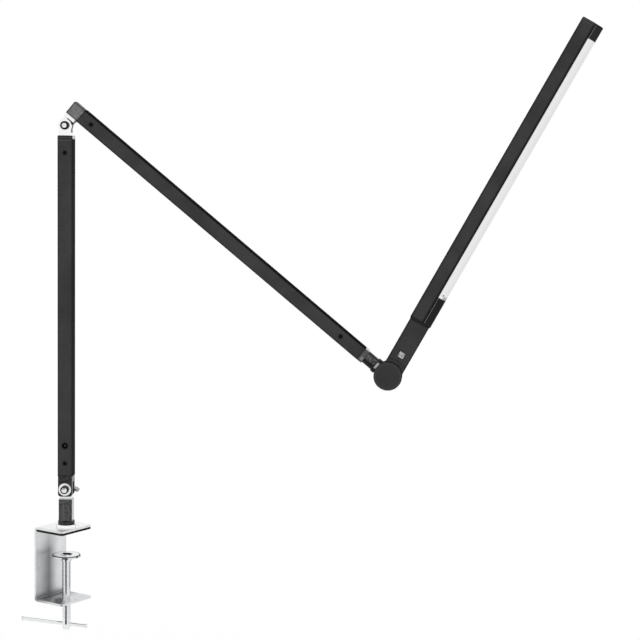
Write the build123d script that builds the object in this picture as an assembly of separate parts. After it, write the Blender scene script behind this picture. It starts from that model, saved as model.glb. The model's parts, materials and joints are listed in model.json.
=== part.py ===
from build123d import *
import os

# Architect lamp: a steel C-clamp, a swivelling post, two square-tube arms and a slim LED head.
# Millimetres. The origin is on the swivel axis at the jaw pad's lower face, where the table top goes.
# +X runs from the clamp's spine over the table, +Y along the table's edge and +Z up.

# Angles of the arms at rest, in degrees
SWIVEL_DEG = 30.0        # plane of the arms, turned from +X about the post
UPPER_DROP_DEG = 39.3    # upper arm below the horizontal
HEAD_RISE_DEG = 61.4     # lamp head above the horizontal

# Running and seating clearances
RUN_FIT = 0.05           # radial play of a shaft in its hole
SLIP = 0.05              # side play of a plug in a tube or a cover in its recess
FACE_GAP = 0.05          # play between two turning faces

# Clamp, bent from steel plate
PLATE_T = 2.5
CLAMP_WIDTH = 50.0
JAW_BACK = 23.0          # swivel axis to the spine's inner face
JAW_FRONT = 16.0         # swivel axis to the front edge
JAW_HEIGHT = 78.4        # jaw pad's lower face to the lower plate
BEND_R = 0.8             # inner radius of the bends
CORNER_R = 3.0
PAD_T = 2.4
BUSH_D = 12.0            # threaded bush in the lower plate
BUSH_DROP = 2.4          # bush below the plate

# Clamp screw, pressure pad and tommy bar
SCREW_D = 9.0
SCREW_END_R = 1.0
SCREW_TAIL = 5.9         # tommy bar's axis to the screw's lower end
PRESS_GAP = 27.5         # jaw pad's lower face to the pressure pad at rest
PRESS_D = 32.0
PRESS_T = 2.5
PRESS_RIM_R = 0.8
HUB_D = 11.6
HUB_H = 4.5
BAR_D = 4.0
BAR_LENGTH = 84.0
BAR_SHIFT = -15.8        # middle of the bar from the screw's axis
BAR_DROP = 80.9          # pressure pad's face to the bar's axis
BAR_DEG = 13.6           # bar at rest, turned from +X about the screw
BAR_KNOB_D = 5.2
BAR_KNOB_L = 2.5
BAR_KNOB_R = 0.8

# Swivel post
POST_W = 15.4
POST_DEPTH = 12.6
POST_EDGE = 0.8
POST_TOP_DROP = 11.8     # shoulder pivot to the post's square top
SHOULDER_Z = 48.8        # jaw pad's lower face to the shoulder pivot
SWIVEL_WASHER_D = 22.0   # bright washer on the plate
SWIVEL_WASHER_T = 3.0
FLANGE_D = 19.0          # dark flange under the post
FLANGE_T = 3.9
SWIVEL_SCREW_D = 6.0
SWIVEL_SCREW_L = 20.0
SWIVEL_HEAD_D = 10.0
SWIVEL_HEAD_H = 2.0
SWIVEL_HEAD_SINK = 0.3   # head below the plate's lower face

# Shoulder and elbow hinges: a tongue between two ears on a bolt
TONGUE_T = 6.0
TONGUE_D = 14.0
EAR_T = 4.3
EAR_D = 14.4
FRICTION_T = 0.45        # fibre washers beside the tongue
FRICTION_D = 13.6
BOLT_D = 5.0
BOLT_HEAD_D = 8.5
BOLT_HEAD_H = 4.0
BOLT_HEAD_EDGE = 0.5
BOLT_KEY = 4.0           # across the flats of the hexagon socket
BOLT_KEY_DEPTH = 2.4
RING_D = 14.4            # bright washer under the shoulder bolt's head
WASHER_D = 10.5
WASHER_T = 1.0
NUT_FLATS = 8.0
NUT_H = 5.0

# Shoulder fork and wing nut
FORK_W = 16.0
FORK_FOOT = 8.2          # fork below the pivot
FORK_FOOT_R = 3.0
FORK_CROTCH = 8.0        # pivot to the floor of a fork's slot
WING_HUB_D = 10.0
WING_HUB_H = 6.5
WING_SPAN = 24.6
WING_DEG = 25.0          # wings at rest, turned down from the horizontal
WING_T = 2.4
WING_H = 11.0
WING_R = 3.0

# Arm tubes
TUBE_W = 16.0            # upper tube
LOWER_TUBE_W = 16.7
TUBE_WALL = 1.2
TUBE_EDGE_R = 0.8
PLUG_L = 26.0            # length of an insert inside its tube
LOWER_SPAN = 409.0       # shoulder pivot to elbow pivot
TUBE_FOOT = 15.2         # shoulder pivot to the lower tube's foot
TUBE_HEAD = 11.3         # lower tube's head to the elbow pivot
FOLD_NOTCH = 3.8         # notch in the lower tube's head, on the folding side
UPPER_LENGTH = 406.5
UPPER_START = 7.0        # elbow pivot to the upper tube's start, along the arm
ARM_RISE = 19.4          # elbow pivot to the upper arm's axis
BLOCK_BACK = 8.2         # elbow pivot to the block's rear end, along the arm
BLOCK_H = 15.3
SLAB_T = 3.7             # bright slab under the block
SLAB_FRONT = 5.4         # elbow pivot to the slab's front end, along the arm
STEM_W = 12.4            # fork's stem above the lower tube
GRUB_D = 4.0
GRUB_L = 5.0
GRUB_SINK = 0.3
GRUB_KEY = 2.0
GRUB_KEY_DEPTH = 1.6
GRUB_HOLE_D = 4.3
GRUB_AT_FOOT = 14.7      # from the lower tube's foot
GRUB_AT_HEAD = 19.0      # from the lower tube's head
GRUB_AT_START = 15.0     # from the upper tube's start
GRUB_AT_END = 30.0       # from the upper tube's end
WIRE_D = 3.4
WIRE_SIDE = 4.6          # wire's axis behind the arm's axis
WIRE_SEAT = 6.0          # wire's end inside an insert

# Power inlet in the lower tube
JACK_AT = 34.8           # from the lower tube's foot
JACK_NOSE_D = 6.8
JACK_BORE_D = 5.6
JACK_DEPTH = 9.0
JACK_BODY_W = 9.0
JACK_BODY_H = 11.0
JACK_PIN_D = 2.0
JACK_PIN_L = 8.0

# Wrist: a yoke that rolls on a stem at the end of the upper arm
WRIST_PLUG_L = 42.0
STEP_L = 6.0             # square step outside the tube
STEP_W = 15.7
SPIGOT_D = 9.0
SPIGOT_BORE_D = 4.0
SPIGOT_PAST_CLIP = 2.0
ROLL_GAP = 0.3
ROLL_RING_D = 14.0
BARREL_D = 14.8
BARREL_L = 12.3
BEAD_D = 17.5
BEAD_L = 5.0
BEAD_R = 1.8
CLIP_SEAT = 9.0          # barrel's face to the floor of the clip's recess
CLIP_D = 11.2
CLIP_T = 1.0
CLIP_GROOVE_D = 8.0
CLIP_ROOM_D = 12.0
CLIP_MOUTH = 5.0
CROTCH = 14.8            # head pivot to the floor of the yoke's slot
DISC_D = 31.7
DISC_EAR_D = 31.0        # ears, just inside the outline of the discs over them
DISC_EAR_T = 4.0
CAP_DISC_T = 2.0
CAP_DISC_R = 0.8
HINGE_HEAD_D = 8.8
HINGE_HEAD_H = 2.3
HINGE_SEAT = 2.5         # depth of the head's and nut's recesses in the ears

# Bracket between the head pivot and the lamp head
BRACKET_W = 23.1
BRACKET_SHIFT = -1.45    # middle of the bracket from the pivot's axis, towards the diffuser
BRACKET_T = 15.0
BRACKET_EDGE = 0.6
BRACKET_START = 15.9     # radius about the pivot where the full width starts
BRACKET_STEP_D = 41.0    # round step in the front face about the pivot
BRACKET_STEP_DEPTH = 0.5
BRACKET_TONGUE_D = 28.6
BRACKET_TONGUE_W = 15.0
BRACKET_WALL = 2.0
POCKET_START = 24.2
POCKET_END = 60.0
POCKET_W = 18.0
COVER_T = 1.8
COVER_LAP = 1.3          # cover's overlap on the pocket's rim
COVER_END_LAP = 6.2      # overlap on the end that takes the screws
COVER_SCREW_D = 2.5
COVER_SCREW_L = 5.5
COVER_SCREW_HEAD_D = 4.4
COVER_SCREW_HEAD_H = 1.2
COVER_SCREW_IN = 3.2     # past the pocket's end
SIDE_SCREW_Z = 6.0       # paired screws either side of the middle
TOUCH_W = 6.6
TOUCH_AT = 28.1          # head pivot to the touch key's middle
TOUCH_PROUD = 0.1
BOARD_T = 1.2
TOUCH_BOARD_L = 33.0
TOUCH_BOARD_W = 15.0

# Lamp head: an open channel with a domed diffuser and two end caps
HEAD_START = 69.2        # head pivot to the lamp head's lower end
HEAD_LENGTH = 375.6
HEAD_BACK = 10.9         # head pivot's axis to the channel's back
HEAD_DEPTH = 24.0
CHANNEL_H = 15.4
CHANNEL_WALL = 2.0
CHANNEL_EDGE_R = 0.8
LIP_CHAMFER = 1.6
RIB_W = 4.0              # screw ribs in the channel's corners
DOME_RISE = 9.8
DOME_WALL = 1.5
SKIRT_H = 5.0
CAP_T = 2.5
LOWER_CAP_L = 34.8       # black domed part at the lower end
UPPER_CAP_L = 17.6
CAP_SCREW_D = 2.5
CAP_SCREW_L = 11.0
CAP_SCREW_HEAD_D = 4.6
CAP_SCREW_HEAD_H = 1.4
BRACKET_SCREW_D = 3.0
BRACKET_SCREW_L = 8.0
BRACKET_SCREW_HEAD_D = 5.4
BRACKET_SCREW_HEAD_H = 2.0
BRACKET_SCREW_Y = -2.0
LED_BOARD_W = 11.0
LED_BOARD_T = 1.6
LED_BOARD_MARGIN = 3.0   # inside the diffuser's ends
LED_PITCH = 10.0
LED_L = 3.5
LED_W = 2.8
LED_T = 0.7
LED_SCREW_D = 2.0
LED_SCREW_HEAD_D = 3.2
LED_SCREW_HEAD_H = 1.2
LED_SCREW_SIDE = 3.6
LED_SCREW_BITE = 1.4
DRIVER_L = 26.0
DRIVER_W = 11.0
COIL_D = 6.0
COIL_H = 4.0
CAPACITOR_D = 5.0
CAPACITOR_H = 6.0
CHIP_W = 4.0
CHIP_H = 1.6

# Values that follow from the sizes above
CLAMP_HALF = CLAMP_WIDTH / 2
PLATE_TOP = PAD_T + PLATE_T
FLANGE_FOOT = PLATE_TOP + SWIVEL_WASHER_T + FACE_GAP
POST_FOOT = FLANGE_FOOT + FLANGE_T
TONGUE_HALF = TONGUE_T / 2
SLOT_HALF = TONGUE_HALF + FACE_GAP + FRICTION_T
EAR_OUT = SLOT_HALF + EAR_T
BOLT_HOLE_R = BOLT_D / 2 + RUN_FIT
TUBE_HALF = TUBE_W / 2
LOWER_HALF = LOWER_TUBE_W / 2
PLUG_HALF = TUBE_HALF - TUBE_WALL - SLIP
LOWER_PLUG_HALF = LOWER_HALF - TUBE_WALL - SLIP
LOWER_END = LOWER_SPAN - TUBE_HEAD
UPPER_END = UPPER_START + UPPER_LENGTH
WIRE_HOLE_R = WIRE_D / 2 + RUN_FIT
STEP_END = UPPER_END + STEP_L
BARREL_START = STEP_END + ROLL_GAP
BEAD_START = BARREL_START + BARREL_L
BEAD_END = BEAD_START + BEAD_L
WRIST_X = BEAD_END + CROTCH
CLIP_FLOOR = BARREL_START + CLIP_SEAT
SPIGOT_END = CLIP_FLOOR + FACE_GAP + CLIP_T + SPIGOT_PAST_CLIP
DISC_OUT = SLOT_HALF + DISC_EAR_T
HINGE_SEAT_Y = DISC_OUT - HINGE_SEAT
BRACKET_HALF_T = BRACKET_T / 2
POCKET_FLOOR = BRACKET_WALL - BRACKET_HALF_T
COVER_SEAT = BRACKET_HALF_T - COVER_T
HEAD_END = HEAD_START + HEAD_LENGTH
CHANNEL_START = HEAD_START + CAP_T
CHANNEL_END = HEAD_END - CAP_T
DIFFUSER_START = HEAD_START + LOWER_CAP_L
DIFFUSER_END = HEAD_END - UPPER_CAP_L
HEAD_HALF = HEAD_DEPTH / 2
WEB_IN = HEAD_BACK - CHANNEL_WALL
LIP_Z = HEAD_BACK - CHANNEL_H
CAVITY_HALF = HEAD_HALF - CHANNEL_WALL
DOME_HALF = CAVITY_HALF - SLIP
CAP_SCREW_Y = CAVITY_HALF - RIB_W / 2
CAP_SCREW_Z = WEB_IN - RIB_W / 2

# Frames of the moving groups. In each the hinge pins run along Y and the viewer is on the -Y side.
LAMP = Rot(0, 0, SWIVEL_DEG)
SHOULDER = LAMP * Pos(0, 0, SHOULDER_Z)
ELBOW = SHOULDER * Pos(0, 0, LOWER_SPAN) * Rot(0, UPPER_DROP_DEG, 0)
HEAD = ELBOW * Pos(WRIST_X, 0, ARM_RISE) * Rot(0, -UPPER_DROP_DEG - HEAD_RISE_DEG, 0)
CLAMP = Location()
SCREW = Rot(0, 0, BAR_DEG)


def block(x0, x1, y0, y1, z0, z1):
    """Box between two opposite corners."""
    return Pos((x0 + x1) / 2, (y0 + y1) / 2, (z0 + z1) / 2) * Box(x1 - x0, y1 - y0, z1 - z0)


def rod_x(d, x0, x1, y=0.0, z=0.0):
    """Cylinder along X from x0 to x1."""
    return Pos((x0 + x1) / 2, y, z) * Rot(0, 90, 0) * Cylinder(d / 2, x1 - x0)


def rod_y(d, y0, y1, x=0.0, z=0.0):
    """Cylinder along Y from y0 to y1."""
    return Pos(x, (y0 + y1) / 2, z) * Rot(90, 0, 0) * Cylinder(d / 2, y1 - y0)


def rod_z(d, z0, z1, x=0.0, y=0.0):
    """Cylinder along Z from z0 to z1."""
    return Pos(x, y, (z0 + z1) / 2) * Cylinder(d / 2, z1 - z0)


def hex_y(flats, y0, y1, x=0.0, z=0.0):
    """Hexagonal prism along Y from y0 to y1."""
    prism = extrude(RegularPolygon(flats / 2, 6, major_radius=False), (y1 - y0) / 2, both=True)
    return Pos(x, (y0 + y1) / 2, z) * Rot(90, 0, 0) * prism


def ring_y(d, hole, y0, y1):
    """Flat washer on the Y axis."""
    return rod_y(d, y0, y1) - rod_y(hole, y0, y1)


def cone_along(axis, d0, d1, start, end):
    """Cone frustum on an axis, with diameter d0 at start and d1 at end."""
    turn = {"x": Rot(0, 90, 0), "y": Rot(-90, 0, 0), "z": Rot(0, 0, 0)}[axis]
    frustum = Pos(0, 0, (start + end) / 2) * Cone(d0 / 2, d1 / 2, end - start)
    return turn * frustum


def profile_bar(sketch, x0, x1):
    """Bar along X whose section is drawn in (y, z)."""
    across = Plane(origin=(x0, 0, 0), x_dir=(0, 1, 0), z_dir=(1, 0, 0))
    return extrude(across * sketch, x1 - x0)


def save(name, frame, *pieces):
    """Writes one node, with its solids placed in the lamp's frame."""
    solids = [solid for piece in pieces for solid in (frame * piece).solids()]
    shape = solids[0] if len(solids) == 1 else Compound(solids)
    export_step(shape, f"parts/{name}.step")


def clamp_bracket():
    """C of bent plate with a countersunk hole for the post and a hole for the bush."""
    floor = -JAW_HEIGHT
    spine = -JAW_BACK - PLATE_T
    shape = block(spine, JAW_FRONT, -CLAMP_HALF, CLAMP_HALF, floor - PLATE_T, PLATE_TOP)
    shape = fillet(shape.edges().filter_by(Axis.Y).group_by(Axis.X)[0], BEND_R + PLATE_T)
    mouth = block(-JAW_BACK, JAW_FRONT + PLATE_T, -CLAMP_WIDTH, CLAMP_WIDTH, floor, PAD_T)
    mouth = fillet(mouth.edges().filter_by(Axis.Y).group_by(Axis.X)[0], BEND_R)
    shape -= mouth
    shape = fillet(shape.edges().filter_by(Axis.Z).group_by(Axis.X)[-1], CORNER_R)
    shape -= rod_z(BUSH_D, floor - PLATE_T, floor)
    return shape - swivel_screw_envelope(RUN_FIT)


def swivel_screw_envelope(play):
    """Countersunk screw up through the upper plate, larger by the play all round."""
    head_low = PAD_T + SWIVEL_HEAD_SINK
    head_top = head_low + SWIVEL_HEAD_H
    head = cone_along("z", SWIVEL_HEAD_D + 2 * play, SWIVEL_SCREW_D + 2 * play, head_low, head_top)
    shank = rod_z(SWIVEL_SCREW_D + 2 * play, head_low, head_top + SWIVEL_SCREW_L)
    if play:
        head += rod_z(SWIVEL_HEAD_D + 2 * play, PAD_T, head_low)
    return head + shank


def jaw_pad():
    """Rubber sheet under the upper plate."""
    shape = block(BEND_R - JAW_BACK, JAW_FRONT, -CLAMP_HALF, CLAMP_HALF, 0, PAD_T)
    return fillet(shape.edges().filter_by(Axis.Z).group_by(Axis.X)[-1], CORNER_R)


def thread_bush():
    """Bush pressed into the lower plate, flush above it."""
    low = -JAW_HEIGHT - PLATE_T - BUSH_DROP
    high = -JAW_HEIGHT
    return rod_z(BUSH_D, low, high) - rod_z(SCREW_D + 2 * RUN_FIT, low, high)


def pressure_pad():
    """Round pad with a hub that the screw's tip turns in."""
    face = -PRESS_GAP
    disc = rod_z(PRESS_D, face - PRESS_T, face)
    disc = fillet(disc.edges().group_by(Axis.Z)[-1], PRESS_RIM_R)
    hub = rod_z(HUB_D, face - PRESS_T - HUB_H, face - PRESS_T)
    socket = rod_z(SCREW_D + 2 * RUN_FIT, face - PRESS_T - HUB_H, face - PRESS_T)
    return disc + hub - socket


def clamp_screw():
    """Plain rod of the screw with a cross hole for the tommy bar."""
    top = -PRESS_GAP - PRESS_T - FACE_GAP
    bar_z = -PRESS_GAP - BAR_DROP
    shape = rod_z(SCREW_D, bar_z - SCREW_TAIL, top)
    shape = fillet(shape.edges().group_by(Axis.Z)[0], SCREW_END_R)
    return shape - rod_x(BAR_D + 2 * RUN_FIT, -SCREW_D, SCREW_D, z=bar_z)


def t_bar():
    """Tommy bar with upset ends."""
    bar_z = -PRESS_GAP - BAR_DROP
    low = BAR_SHIFT - BAR_LENGTH / 2
    high = BAR_SHIFT + BAR_LENGTH / 2
    shape = rod_x(BAR_D, low + BAR_KNOB_L / 2, high - BAR_KNOB_L / 2, z=bar_z)
    for start in (low, high - BAR_KNOB_L):
        knob = rod_x(BAR_KNOB_D, start, start + BAR_KNOB_L, z=bar_z)
        shape += fillet(knob.edges().filter_by(GeomType.CIRCLE), BAR_KNOB_R)
    return shape


def swivel_post():
    """Square post with a round-topped tongue for the shoulder hinge."""
    half = POST_W / 2
    deep = POST_DEPTH / 2
    top = SHOULDER_Z - POST_TOP_DROP
    shape = block(-half, half, -deep, deep, POST_FOOT, top)
    shape = chamfer(shape.edges().filter_by(Axis.Z), POST_EDGE)
    shape += block(-TONGUE_D / 2, TONGUE_D / 2, -TONGUE_HALF, TONGUE_HALF, top, SHOULDER_Z)
    shape += rod_y(TONGUE_D, -TONGUE_HALF, TONGUE_HALF, z=SHOULDER_Z)
    shape -= rod_y(2 * BOLT_HOLE_R, -TONGUE_HALF, TONGUE_HALF, z=SHOULDER_Z)
    return shape - swivel_screw_envelope(RUN_FIT)


def swivel_washer():
    """Bright washer on the upper plate."""
    high = PLATE_TOP + SWIVEL_WASHER_T
    hole = SWIVEL_SCREW_D + 2 * RUN_FIT
    return rod_z(SWIVEL_WASHER_D, PLATE_TOP, high) - rod_z(hole, PLATE_TOP, high)


def swivel_flange():
    """Dark flange that turns with the post on the washer."""
    hole = SWIVEL_SCREW_D + 2 * RUN_FIT
    return rod_z(FLANGE_D, FLANGE_FOOT, POST_FOOT) - rod_z(hole, FLANGE_FOOT, POST_FOOT)


def hinge_bolt(seat, end):
    """Cap screw along Y, with its head in front of the seat and a hexagon socket."""
    front = seat - BOLT_HEAD_H
    head = rod_y(BOLT_HEAD_D, front, seat)
    head = chamfer(head.edges().filter_by(GeomType.CIRCLE).group_by(Axis.Y)[0], BOLT_HEAD_EDGE)
    shape = head + rod_y(BOLT_D, seat, end)
    return shape - hex_y(BOLT_KEY, front, front + BOLT_KEY_DEPTH)


def friction_washers():
    """Pair of fibre washers between a tongue and its two ears."""
    hole = BOLT_D + 2 * RUN_FIT
    rear = ring_y(FRICTION_D, hole, SLOT_HALF - FRICTION_T, SLOT_HALF)
    front = ring_y(FRICTION_D, hole, -SLOT_HALF, FRICTION_T - SLOT_HALF)
    return front, rear


def grub_hole(half, x, z):
    """Tapped hole in an insert behind the front wall of a tube of that half width."""
    return rod_y(GRUB_D + 2 * RUN_FIT, -half, GRUB_SINK + GRUB_L - half, x, z)


def grub_screw(half, x, z):
    """Grub screw sunk below the front face of a tube of that half width."""
    front = GRUB_SINK - half
    shape = rod_y(GRUB_D, front, front + GRUB_L, x, z)
    return shape - hex_y(GRUB_KEY, front, front + GRUB_KEY_DEPTH, x, z)


def shoulder_fork():
    """Fork that straddles the post's tongue, with a plug up into the lower tube."""
    shape = block(-FORK_W / 2, FORK_W / 2, -EAR_OUT, EAR_OUT, -FORK_FOOT, TUBE_FOOT)
    shape = fillet(shape.edges().filter_by(Axis.Y).group_by(Axis.Z)[0], FORK_FOOT_R)
    plug = LOWER_PLUG_HALF
    shape += block(-plug, plug, -plug, plug, TUBE_FOOT, TUBE_FOOT + PLUG_L)
    shape -= block(-FORK_W, FORK_W, -SLOT_HALF, SLOT_HALF, -2 * FORK_FOOT, FORK_CROTCH)
    shape -= rod_y(2 * BOLT_HOLE_R, -EAR_OUT, EAR_OUT)
    return shape - grub_hole(LOWER_HALF, 0, TUBE_FOOT + GRUB_AT_FOOT)


def wing_nut():
    """Wing nut behind the shoulder fork."""
    low = EAR_OUT + WASHER_T + FACE_GAP
    high = low + WING_HUB_H
    shape = rod_y(WING_HUB_D, low, high)
    half = WING_SPAN / 2
    wings = block(-half, half, high - WING_H / 2, high + WING_H / 2, -WING_T / 2, WING_T / 2)
    wings = fillet(wings.edges().filter_by(Axis.Z), WING_R)
    valley = rod_z(WING_HUB_D, -WING_T, WING_T, y=high + WING_H / 2)
    shape += wings - valley
    return Rot(0, WING_DEG, 0) * (shape - rod_y(2 * BOLT_HOLE_R, low - WING_H, high + WING_H))


def square_tube(half, start, length):
    """Square tube of a half width along Z, with rounded outer edges."""
    inner = half - TUBE_WALL
    shape = block(-half, half, -half, half, start, start + length)
    shape = fillet(shape.edges().filter_by(Axis.Z), TUBE_EDGE_R)
    return shape - block(-inner, inner, -inner, inner, start, start + length)


def front_hole(half, d, x, z):
    """Hole through the front wall of a tube of that half width."""
    return rod_y(d, -2 * half, TUBE_WALL - half, x, z)


def lower_arm_tube():
    """Lower tube with two screw holes, the inlet's hole and the folding notch."""
    inner = LOWER_HALF - TUBE_WALL
    shape = square_tube(LOWER_HALF, TUBE_FOOT, LOWER_END - TUBE_FOOT)
    shape -= front_hole(LOWER_HALF, GRUB_HOLE_D, 0, TUBE_FOOT + GRUB_AT_FOOT)
    shape -= front_hole(LOWER_HALF, GRUB_HOLE_D, 0, LOWER_END - GRUB_AT_HEAD)
    shape -= front_hole(LOWER_HALF, JACK_NOSE_D, 0, TUBE_FOOT + JACK_AT)
    return shape - block(inner, LOWER_TUBE_W, -inner, inner, LOWER_END - FOLD_NOTCH, LOWER_END)


def dc_jack():
    """Round-nosed power inlet behind the lower tube's front wall."""
    z = TUBE_FOOT + JACK_AT
    wall = TUBE_WALL - LOWER_HALF
    nose = rod_y(JACK_NOSE_D - 2 * SLIP, -LOWER_HALF, wall, z=z)
    half_w = JACK_BODY_W / 2
    half_h = JACK_BODY_H / 2
    body = block(-half_w, half_w, wall, WIRE_SIDE - WIRE_D / 2, z - half_h, z + half_h)
    return nose + body - rod_y(JACK_BORE_D, -LOWER_HALF, JACK_DEPTH - LOWER_HALF, z=z)


def dc_jack_pin():
    """Centre contact on the floor of the inlet's bore."""
    floor = JACK_DEPTH - LOWER_HALF
    return rod_y(JACK_PIN_D, floor - JACK_PIN_L, floor, z=TUBE_FOOT + JACK_AT)


def elbow_fork():
    """Insert in the lower tube's head with a stem and two round ears for the elbow."""
    half = STEM_W / 2
    plug = LOWER_PLUG_HALF
    crotch = LOWER_SPAN - FORK_CROTCH
    shape = block(-plug, plug, -plug, plug, LOWER_END - PLUG_L, LOWER_END)
    shape += block(0, LOWER_HALF, -plug, plug, LOWER_END - FOLD_NOTCH + SLIP, LOWER_END)
    shape += block(-half, half, -EAR_OUT, EAR_OUT, LOWER_END, LOWER_SPAN)
    shape += rod_y(EAR_D, -EAR_OUT, EAR_OUT, z=LOWER_SPAN)
    shape -= block(-EAR_D, EAR_D, -SLOT_HALF, SLOT_HALF, crotch, LOWER_SPAN + EAR_D)
    shape -= rod_y(2 * BOLT_HOLE_R, -EAR_OUT, EAR_OUT, z=LOWER_SPAN)
    shape -= rod_z(2 * WIRE_HOLE_R, LOWER_END - PLUG_L, LOWER_END, y=WIRE_SIDE)
    return shape - grub_hole(LOWER_HALF, 0, LOWER_END - GRUB_AT_HEAD)


def lower_arm_wire():
    """Wire from the inlet up into the elbow's insert."""
    high = LOWER_END - PLUG_L + WIRE_SEAT
    return rod_z(WIRE_D, TUBE_FOOT + JACK_AT, high, y=WIRE_SIDE)


def elbow_block():
    """Block at the upper arm's start, with a slab and a tongue below and a plug into the tube."""
    low = ARM_RISE - BLOCK_H / 2
    slab = low - SLAB_T
    half = TONGUE_D / 2
    shape = block(-BLOCK_BACK, UPPER_START, -EAR_OUT, EAR_OUT, low, ARM_RISE + BLOCK_H / 2)
    shape += block(-BLOCK_BACK, SLAB_FRONT, -EAR_OUT, EAR_OUT, slab, low)
    plug_end = UPPER_START + PLUG_L
    plug_low = ARM_RISE - PLUG_HALF
    shape += block(UPPER_START, plug_end, -PLUG_HALF, PLUG_HALF, plug_low, ARM_RISE + PLUG_HALF)
    tongue = rod_y(TONGUE_D, -TONGUE_HALF, TONGUE_HALF)
    tongue += block(-half, SLAB_FRONT, -TONGUE_HALF, TONGUE_HALF, 0, slab)
    shape += tongue - rod_y(2 * BOLT_HOLE_R, -TONGUE_HALF, TONGUE_HALF)
    shape -= rod_x(2 * WIRE_HOLE_R, 0, plug_end, y=WIRE_SIDE, z=ARM_RISE)
    return shape - grub_hole(TUBE_HALF, UPPER_START + GRUB_AT_START, ARM_RISE)


def upper_arm_tube():
    """Upper tube with two screw holes in its front wall."""
    shape = Pos(0, 0, ARM_RISE) * Rot(0, 90, 0) * square_tube(TUBE_HALF, UPPER_START, UPPER_LENGTH)
    shape -= front_hole(TUBE_HALF, GRUB_HOLE_D, UPPER_START + GRUB_AT_START, ARM_RISE)
    return shape - front_hole(TUBE_HALF, GRUB_HOLE_D, UPPER_END - GRUB_AT_END, ARM_RISE)


def upper_arm_wire():
    """Wire between the two inserts of the upper tube."""
    start = UPPER_START + PLUG_L - WIRE_SEAT
    end = UPPER_END - WRIST_PLUG_L + WIRE_SEAT
    return rod_x(WIRE_D, start, end, y=WIRE_SIDE, z=ARM_RISE)


def wrist_plug():
    """Insert in the upper tube's end with a square step and a hollow stem."""
    start = UPPER_END - WRIST_PLUG_L
    half = STEP_W / 2
    shape = block(start, UPPER_END, -PLUG_HALF, PLUG_HALF, ARM_RISE - PLUG_HALF, ARM_RISE + PLUG_HALF)
    shape += block(UPPER_END, STEP_END, -half, half, ARM_RISE - half, ARM_RISE + half)
    shape += rod_x(SPIGOT_D, STEP_END, SPIGOT_END, z=ARM_RISE)
    groove = CLIP_FLOOR + FACE_GAP
    waste = rod_x(SPIGOT_D, groove, groove + CLIP_T, z=ARM_RISE)
    shape -= waste - rod_x(CLIP_GROOVE_D, groove, groove + CLIP_T, z=ARM_RISE)
    shape -= rod_x(SPIGOT_BORE_D, UPPER_END, SPIGOT_END, z=ARM_RISE)
    shape -= rod_x(2 * WIRE_HOLE_R, start, UPPER_END, y=WIRE_SIDE, z=ARM_RISE)
    return shape - grub_hole(TUBE_HALF, UPPER_END - GRUB_AT_END, ARM_RISE)


def wrist_circlip():
    """Open ring in the stem's groove that keeps the yoke on."""
    low = CLIP_FLOOR + FACE_GAP
    high = low + CLIP_T
    shape = rod_x(CLIP_D, low, high, z=ARM_RISE) - rod_x(CLIP_GROOVE_D, low, high, z=ARM_RISE)
    half = CLIP_MOUTH / 2
    return shape - block(low, high, -half, half, ARM_RISE, ARM_RISE + CLIP_D)


def wrist_friction_ring():
    """Thin ring between the square step and the barrel."""
    end = BARREL_START - FACE_GAP
    hole = SPIGOT_D + 2 * RUN_FIT
    return rod_x(ROLL_RING_D, STEP_END, end, z=ARM_RISE) - rod_x(hole, STEP_END, end, z=ARM_RISE)


def wrist_yoke():
    """Barrel, rounded bead and two round ears that carry the head's pivot."""
    shape = rod_x(BARREL_D, BARREL_START, BEAD_START, z=ARM_RISE)
    bead = rod_x(BEAD_D, BEAD_START, BEAD_END, z=ARM_RISE)
    shape += fillet(bead.edges().filter_by(GeomType.CIRCLE).group_by(Axis.X)[0], BEAD_R)
    pivot = WRIST_X
    for low, high in ((-DISC_OUT, -SLOT_HALF), (SLOT_HALF, DISC_OUT)):
        shape += rod_y(DISC_EAR_D, low, high, pivot, ARM_RISE)
        half = BEAD_D / 2 - BEAD_R
        shape += block(BEAD_END - BEAD_L / 2, pivot, low, high, ARM_RISE - half, ARM_RISE + half)
    for low, high in ((-BEAD_D, -DISC_OUT), (DISC_OUT, BEAD_D)):
        shape -= rod_y(DISC_D + 2 * SLIP, low, high, pivot, ARM_RISE)
    shape -= rod_x(SPIGOT_D + 2 * RUN_FIT, BARREL_START, CLIP_FLOOR, z=ARM_RISE)
    shape -= rod_x(CLIP_ROOM_D, CLIP_FLOOR, BEAD_END, z=ARM_RISE)
    shape -= block(BEAD_END, pivot + DISC_D, -SLOT_HALF, SLOT_HALF, ARM_RISE - DISC_D, ARM_RISE + DISC_D)
    shape -= rod_y(2 * BOLT_HOLE_R, -DISC_OUT, DISC_OUT, pivot, ARM_RISE)
    shape -= rod_y(HINGE_HEAD_D + 2 * SLIP, -DISC_OUT, -HINGE_SEAT_Y, pivot, ARM_RISE)
    return shape - hex_y(NUT_FLATS + 2 * SLIP, HINGE_SEAT_Y, DISC_OUT, pivot, ARM_RISE)


def hinge_cap(side):
    """Smooth disc that closes one ear; side is -1 in front and 1 behind."""
    low, high = sorted((side * DISC_OUT, side * (DISC_OUT + CAP_DISC_T)))
    shape = rod_y(DISC_D, low, high)
    outer = shape.edges().filter_by(GeomType.CIRCLE).group_by(Axis.Y)[0 if side < 0 else -1]
    return fillet(outer, CAP_DISC_R)


def head_hinge_bolt():
    """Flat-headed pivot bolt through the yoke and the bracket's tongue."""
    head = rod_y(HINGE_HEAD_D, -HINGE_SEAT_Y - HINGE_HEAD_H, -HINGE_SEAT_Y)
    return head + rod_y(BOLT_D, -HINGE_SEAT_Y, HINGE_SEAT_Y + HINGE_HEAD_H)


def head_hinge_nut():
    """Thin nut in the rear ear."""
    low = HINGE_SEAT_Y
    high = HINGE_SEAT_Y + HINGE_HEAD_H
    return hex_y(NUT_FLATS, low, high) - rod_y(2 * BOLT_HOLE_R, low, high)


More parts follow.
